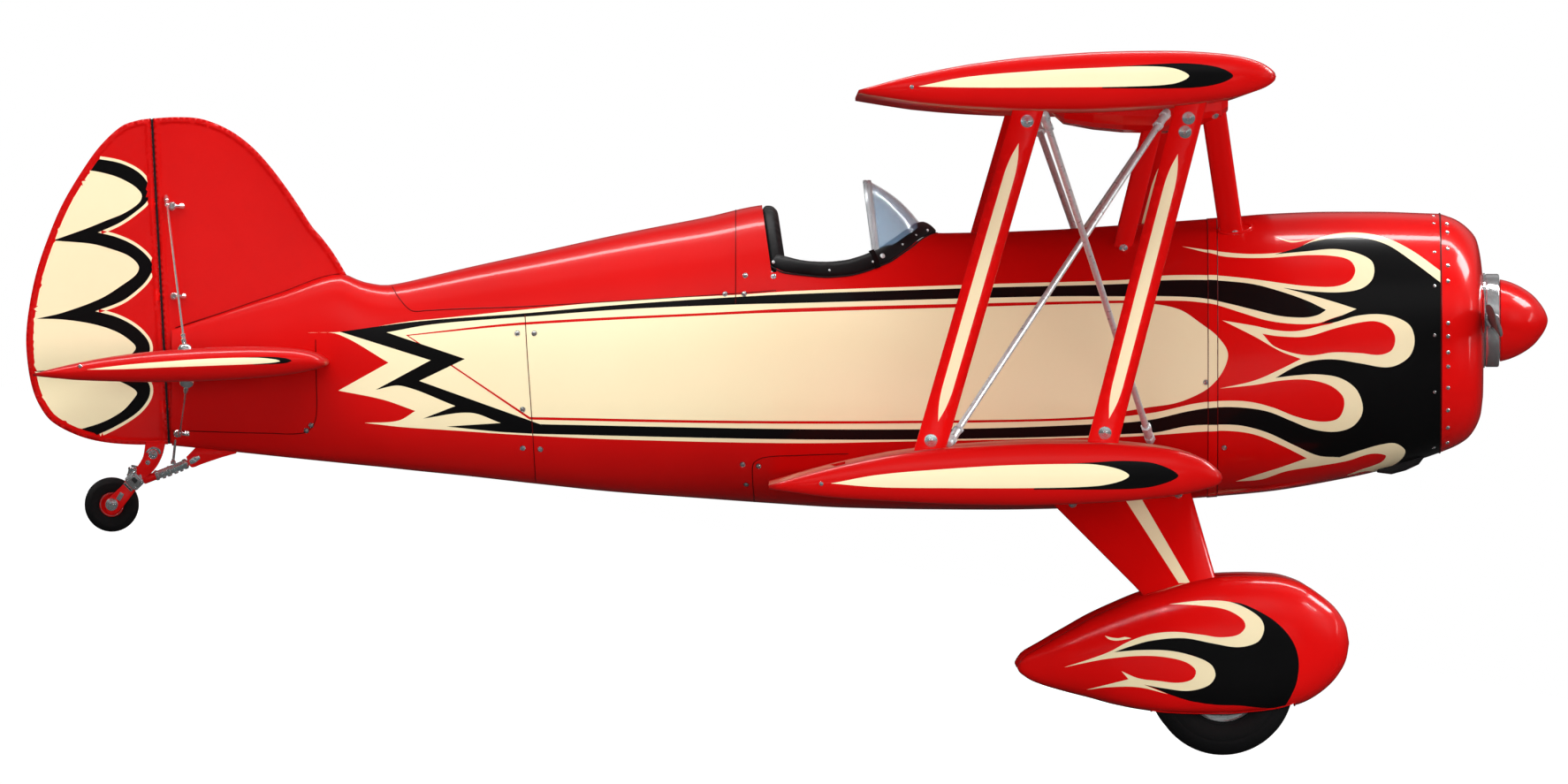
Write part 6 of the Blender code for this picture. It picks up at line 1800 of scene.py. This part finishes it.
def cushion(name, x0, x1, half, z0, z1, slope, seams, replace=()):
    """A box cushion with pulled-in corners; slope tips it about the Y axis."""
    rings = []
    for share, inset in ((0.0, 0.020), (0.12, 0.006), (0.3, 0.0), (0.7, 0.0), (0.88, 0.006), (1.0, 0.020)):
        ring = []
        for i in range(48):
            turn = 2 * math.pi * (i + 0.5) / 48
            c, t = math.cos(turn), math.sin(turn)
            reach = (abs(c)**CUSHION_CORNER + abs(t)**CUSHION_CORNER) ** (-1 / CUSHION_CORNER)
            u = (x0 + x1) / 2 + ((x1 - x0) / 2 - inset) * reach * c
            ring.append((u, (half - inset) * reach * t, z0 + (z1 - z0) * share))
        rings.append(ring)
    points, faces = loft(rings)
    turned = []
    for x, y, z in points:
        gap = Vector((x - x0, 0, z - z0))
        gap.rotate(Matrix.Rotation(-slope, 3, "Y"))
        turned.append((x0 + gap.x, y, z0 + gap.z))
    pad_piece(name, (turned, faces), CUSHION_SWELL, seams, replace)


cushion("seat_cushion", 3.070, 3.405, 0.196, 1.190, 1.232, math.radians(4.2),
        [((3.10 + 0.075 * i, 0, 0), (1, 0, 0)) for i in range(1, 4)], replace=("seat",))
cushion("seat_back_cushion", 3.048, 3.048 + 0.44, 0.190, 1.262, 1.300, math.radians(96.2),
        [((0, y, 0), (0, 1, 0)) for y in (-0.095, 0.0, 0.095)])
shell = Heap()
SHELL = ((896.5, 539.2, S), (1030.5, 539.2, S), (1035, 486, S), (1031, 480.5, S), (1027, 492, S),
         (931, 497, S), (926, 490, S), (911.5, 339, S), (895, 335.5, S), (895, 497, S))
for y in (-0.208, 0.200):
    shell.add(slab(SHELL, y, y + 0.008, 0.002))
shell.add(slab(((896, 539, S), (1029, 539, S), (1031, 497, S), (930, 500, S), (925, 494, S),
                (909, 340, S), (896, 337, S)), -0.199, 0.199, 0.003))
shell.build("seat_shell", (STEEL,), "airframe")

GAUGES = ((-0.12, 1.795, 0.040), (0.0, 1.800, 0.042), (0.12, 1.795, 0.040), (-0.12, 1.690, 0.040),
          (0.0, 1.690, 0.042), (0.12, 1.690, 0.040), (-0.212, 1.745, 0.026), (0.212, 1.745, 0.026),
          (-0.215, 1.665, 0.026), (0.215, 1.665, 0.026))
gauges = Heap()
for i, (y, z, radius) in enumerate(GAUGES):
    face = Vector((3.4548, y, z))
    gauges.add(lathe(face, (-1, 0, 0),
                     ((radius * 1.12, -0.001), (radius * 1.12, 0.003), (radius * 1.04, 0.006), (radius, 0.0055),
                                        (radius * 0.97, 0.003)), 32))
    gauges.add(lathe(face, (-1, 0, 0), ((radius * 0.97, 0.003), (0.0, 0.0031)), 32), 1)
    for tick in range(10):
        turn = math.radians(tick * 30 - 45)
        way = Vector((0, math.cos(turn), math.sin(turn)))
        gauges.add(rod(face + way * radius * 0.76 + Vector((-0.0034, 0, 0)), face + way * radius * 0.90
                       + Vector((-0.0034, 0, 0)), 0.0009, 4), 2)
    turn = math.radians(70 + 47 * i)
    way = Vector((0, math.cos(turn), math.sin(turn)))
    gauges.add(rod(face - way * radius * 0.15 + Vector((-0.0042, 0, 0)), face + way * radius * 0.7
                   + Vector((-0.0042, 0, 0)), 0.0014, 6), 2)
    gauges.add(dome(face + Vector((-0.0042, 0, 0)), (-1, 0, 0), radius * 0.12, 0.002), 0)
for y in (-0.16, -0.10, -0.04, 0.04, 0.10, 0.16):
    gauges.add(hexnut((3.4548, y, 1.610), (-1, 0, 0), 0.008, 0.004), 3)
    gauges.add(rod((3.452, y, 1.610), (3.434, y, 1.618), 0.0026, 8), 3)
gauges.build("panel_gauges", (DARK, BLACK, CREAM, STEEL), "airframe")


def band(path, y, half, thick):
    """A flat strap along a path of (x, z)."""
    rings = []
    for i, (x, z) in enumerate(path):
        before, after = path[max(0, i - 1)], path[min(len(path) - 1, i + 1)]
        way = Vector((after[0] - before[0], after[1] - before[1])).normalized() * (thick / 2)
        rings.append([(x - way.y * s, y + half * t, z + way.x * s) for s,
                      t in ((-1, -1), (-1, 1), (1, 1), (1, -1))])
    return loft(rings)


STRAP_PATH = flowing(((2.966, 1.700), (2.984, 1.722), (3.006, 1.722), (3.020, 1.700), (3.030, 1.600),
                      (3.045, 1.450), (3.060, 1.310), (3.080, 1.262), (3.120, 1.256), (3.220, 1.263),
                      (3.290, 1.268)),
                     False).tolist()
belts = Heap()
belts.both(band(STRAP_PATH, 0.078, 0.0225, 0.0028))
belts.both(band(((3.232, 1.2665), (3.268, 1.2690)), 0.078, 0.031, 0.009), 1)
belts.both(band(((3.037, 1.520), (3.041, 1.485)), 0.078, 0.029, 0.007), 1)
belts.build("seat_belts", (DARK, STEEL), "airframe")
controls = Heap()
controls.add(tube(((3.5135, 0, 1.352), (3.510, 0, 1.380), (3.505, 0, 1.420), (3.500, 0, 1.460),
                   (3.497, 0, 1.480)),
                  (0.0185, 0.0200, 0.0220, 0.0205, 0.0125), 20))
controls.add(dome((3.497, 0, 1.480), (-0.1, 0, 1), 0.007, 0.006), 1)
controls.add(rod((3.330, 0.315, 1.560), (3.365, 0.300, 1.665), 0.0055, 10), 2)
controls.add(lathe((3.365, 0.300, 1.660), (0.3, -0.1, 1),
                   ((0.006, 0), (0.014, 0.006), (0.016, 0.018), (0.012, 0.030), (0, 0.034)), 18))
controls.build("cockpit_controls", (DARK, RED, STEEL), "airframe")

# Camera, light and floor
LENS = 850.0
SENSOR = 36.0
FRAME_WIDTH = PHOTO_WIDTH * PIXEL
CAMERA_AWAY = FRAME_WIDTH * LENS / SENSOR
# The plane across the part where the picture's scale is exact, and the camera's height over its middle
MATCH_Y = -0.9
camera = bpy.data.cameras.new("photo_camera")
camera.lens = LENS
camera.sensor_width = SENSOR
camera.clip_end = 1000.0
camera_item = bpy.data.objects.new("photo_camera", camera)
bpy.context.scene.collection.objects.link(camera_item)
CAMERA_RISE = 0.50
centre_x, centre_z = spot(PHOTO_WIDTH / 2, PHOTO_HEIGHT / 2)
middle = Vector((centre_x, MATCH_Y - CAMERA_AWAY, centre_z + CAMERA_RISE))
aim = Matrix.Rotation(-math.atan2(CAMERA_RISE, CAMERA_AWAY), 3,
                      "X") @ Matrix(((1, 0, 0), (0, 0, -1), (0, 1, 0)))
camera_item.matrix_world = Matrix.Translation(TURN @ middle + SHIFT) @ (TURN @ aim).to_4x4()
bpy.context.scene.camera = camera_item

WHITE = matte("studio_floor", (0.25, 0.25, 0.25), (0.22, 0.22, 0.22), 0.9, 2.0, 0.0)
lit = WHITE.node_tree.nodes["Principled BSDF"]
lit.inputs["Specular IOR Level"].default_value = 0.0
lit.inputs["Emission Color"].default_value = (1.0, 1.0, 1.0, 1.0)
lit.inputs["Emission Strength"].default_value = 0.0
seen_by = WHITE.node_tree.nodes.new("ShaderNodeLightPath")
glow = WHITE.node_tree.nodes.new("ShaderNodeMath")
glow.operation = "MULTIPLY"
glow.inputs[1].default_value = 0.985
WHITE.node_tree.links.new(seen_by.outputs["Is Camera Ray"], glow.inputs[0])
WHITE.node_tree.links.new(glow.outputs["Value"], lit.inputs["Emission Strength"])
floor_mesh = bpy.data.meshes.new("studio_floor")
FLOOR = 60.0
floor_mesh.from_pydata([(-FLOOR, -FLOOR, 0), (FLOOR, -FLOOR, 0), (FLOOR, FLOOR, 0), (-FLOOR, FLOOR, 0)],
                       [], [(0, 1, 2, 3)])
floor_mesh.materials.append(WHITE)
floor = bpy.data.objects.new("studio_floor", floor_mesh)
bpy.context.scene.collection.objects.link(floor)
floor.visible_glossy = False
floor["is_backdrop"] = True


def softbox(name, place, target, size, power, diffuse=True, glossy=True, lights_only=()):
    """A studio light in the level frame, its long side along the fuselage as nearly as it can be."""
    light = bpy.data.lights.new(name, "AREA")
    light.shape = "RECTANGLE"
    light.size, light.size_y = size
    light.energy = power
    item = bpy.data.objects.new(name, light)
    bpy.context.scene.collection.objects.link(item)
    place, target = TURN @ Vector(place) + SHIFT, TURN @ Vector(target) + SHIFT
    out = (place - target).normalized()
    along = TURN @ Vector((1.0, 0.0, 0.0))
    along = (along - out * along.dot(out)).normalized()
    axes = Matrix((along, out.cross(along), out)).transposed()
    item.matrix_world = Matrix.Translation(place) @ axes.to_4x4()
    item.visible_diffuse, item.visible_glossy = diffuse, glossy
    if lights_only:
        light.use_shadow = False
        light.cycles.use_multiple_importance_sampling = False
        group = bpy.data.collections.new(name + "_receivers")
        for label in lights_only:
            group.objects.link(bpy.data.objects[label])
        item.light_linking.receiver_collection = group


softbox("overhead", (2.5, -2.5, 7.5), (2.5, 0.0, 1.0), (15.0, 1.6), 620, glossy=False)
softbox("overhead_strip", (2.5, 0.25, 7.5), (2.5, 0.0, 1.6), (15.0, 0.7), 720, diffuse=False)
softbox("camera_side", (2.0, -10.5, 7.5), (2.0, 0.0, 1.2), (9.0, 3.0), 400, glossy=False)
softbox("camera_low", (3.0, -13.0, 1.5), (2.6, 0.0, 1.3), (11.0, 1.6), 800, glossy=False)
softbox("port_side", (2.0, 11.0, 5.0), (2.0, 0.0, 1.2), (9.0, 3.0), 560, glossy=False)
softbox("port_low", (3.0, 13.0, 1.5), (2.6, 0.0, 1.3), (11.0, 1.6), 520, glossy=False)
softbox("nose_box", (10.6, -0.3, 6.4), (5.45, -0.3, 1.83), (2.6, 2.2), 420, diffuse=False)
softbox("nose_side", (12.5, -1.5, 2.6), (5.5, 0.0, 1.6), (0.7, 3.0), 30, diffuse=False)
softbox("front_fill", (14.0, 0.0, 3.5), (2.5, 0.0, 1.2), (6.0, 3.0), 260, glossy=False)
softbox("nose_fill", (11.0, -5.0, 3.0), (5.2, 0.0, 1.6), (3.0, 3.0), 110, glossy=False)
softbox("gear_fill", (4.2, -7.0, 2.2), (4.4, -0.8, 0.7), (3.0, 2.0), 75, glossy=False,
        lights_only=("gear_leg_skins", "wheel_pant_skins"))
METAL = ("propeller_assembly", "wing_stays", "strut_bolts", "tail_braces", "tail_fork_skin", "tail_arm_skin",
         "tail_spring_skin", "windshield_arch", "fuselage_screws", "coaming_studs")
softbox("metal_sky", (2.8, -5.5, 6.5), (2.8, 0.0, 1.6), (15.0, 4.5), 200, diffuse=False, lights_only=METAL)
softbox("metal_face", (2.8, -9.0, 2.7), (2.8, 0.0, 1.6), (15.0, 2.6), 65, diffuse=False, lights_only=METAL)
softbox("metal_floor", (2.8, -5.5, -3.0), (2.8, 0.0, 1.6), (15.0, 3.0), 50, diffuse=False, lights_only=METAL)
softbox("pant_strip", (1.4, -5.9, 6.1), (4.2, -0.9, 0.5), (5.5, 0.6), 130, diffuse=False,
        lights_only=("wheel_pant_skins",))
softbox("pant_spot", (9.7, -4.9, 5.5), (4.88, -0.9, 0.56), (2.0, 1.0), 150, diffuse=False,
        lights_only=("wheel_pant_skins",))
softbox("pane_strip", (7.2, 3.5, 6.7), (3.35, 0.0, 2.05), (5.0, 1.0), 330, diffuse=False,
        lights_only=("windshield_pane",))
world = bpy.data.worlds.new("studio")
bpy.context.scene.world = world
world.use_nodes = True
back = world.node_tree.nodes["Background"]
sky_way = world.node_tree.nodes.new("ShaderNodeTexCoord")
sky_parts = world.node_tree.nodes.new("ShaderNodeSeparateXYZ")
world.node_tree.links.new(sky_way.outputs["Generated"], sky_parts.inputs["Vector"])
SKY = ((0.0, 0.03), (0.14, 0.04), (0.30, 0.13), (0.46, 0.32), (0.60, 0.34), (0.74, 0.13), (1.0, 0.10))
sky = ramp(world.node_tree.nodes, world.node_tree.links, sky_parts.outputs["Z"],
           [(h, (v,) * 3) for h, v in SKY])
world.node_tree.links.new(sky, back.inputs["Color"])
seen = world.node_tree.nodes.new("ShaderNodeBackground")
seen.inputs["Color"].default_value = (1.0, 1.0, 1.0, 1.0)
seen.inputs["Strength"].default_value = 1.0
path = world.node_tree.nodes.new("ShaderNodeLightPath")
choose = world.node_tree.nodes.new("ShaderNodeMixShader")
links = world.node_tree.links
links.new(path.outputs["Is Camera Ray"], choose.inputs[0])
links.new(back.outputs["Background"], choose.inputs[1])
links.new(seen.outputs["Background"], choose.inputs[2])
links.new(choose.outputs["Shader"], world.node_tree.nodes["World Output"].inputs["Surface"])
bpy.context.scene.view_settings.view_transform = "Standard"

# CAD nodes that stay, with better looks
KEPT_LOOKS = {
    "centre_fuselage": INTERIOR, "engine_cowling": INTERIOR, "nose_bowl": RED, "engine": CASTING,
    "chin_outlet": DARK, "propeller": CHROME, "propeller_backplate": CHROME, "spinner": RED,
    "windshield_frame": CHROME, "instrument_panel": DARK, "control_stick": STEEL, "tail_spring_strut": CHROME,
    "main_tyre_right": RUBBER, "main_tyre_left": RUBBER, "tail_tyre": RUBBER, "main_rim_right": CREAM,
    "main_rim_left": CREAM, "headrest_pad": LEATHER, "cockpit_coaming": LEATHER, "seat": LEATHER}
for node, item in frame["nodes"].items():
    look = KEPT_LOOKS.get(node, RED)
    if "wire" in node:
        look = CHROME
    item.data.materials.clear()
    item.data.materials.append(look)

size = {"cad": [list(corner) for corner in CAD_BOX], "visual": [list(corner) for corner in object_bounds()]}
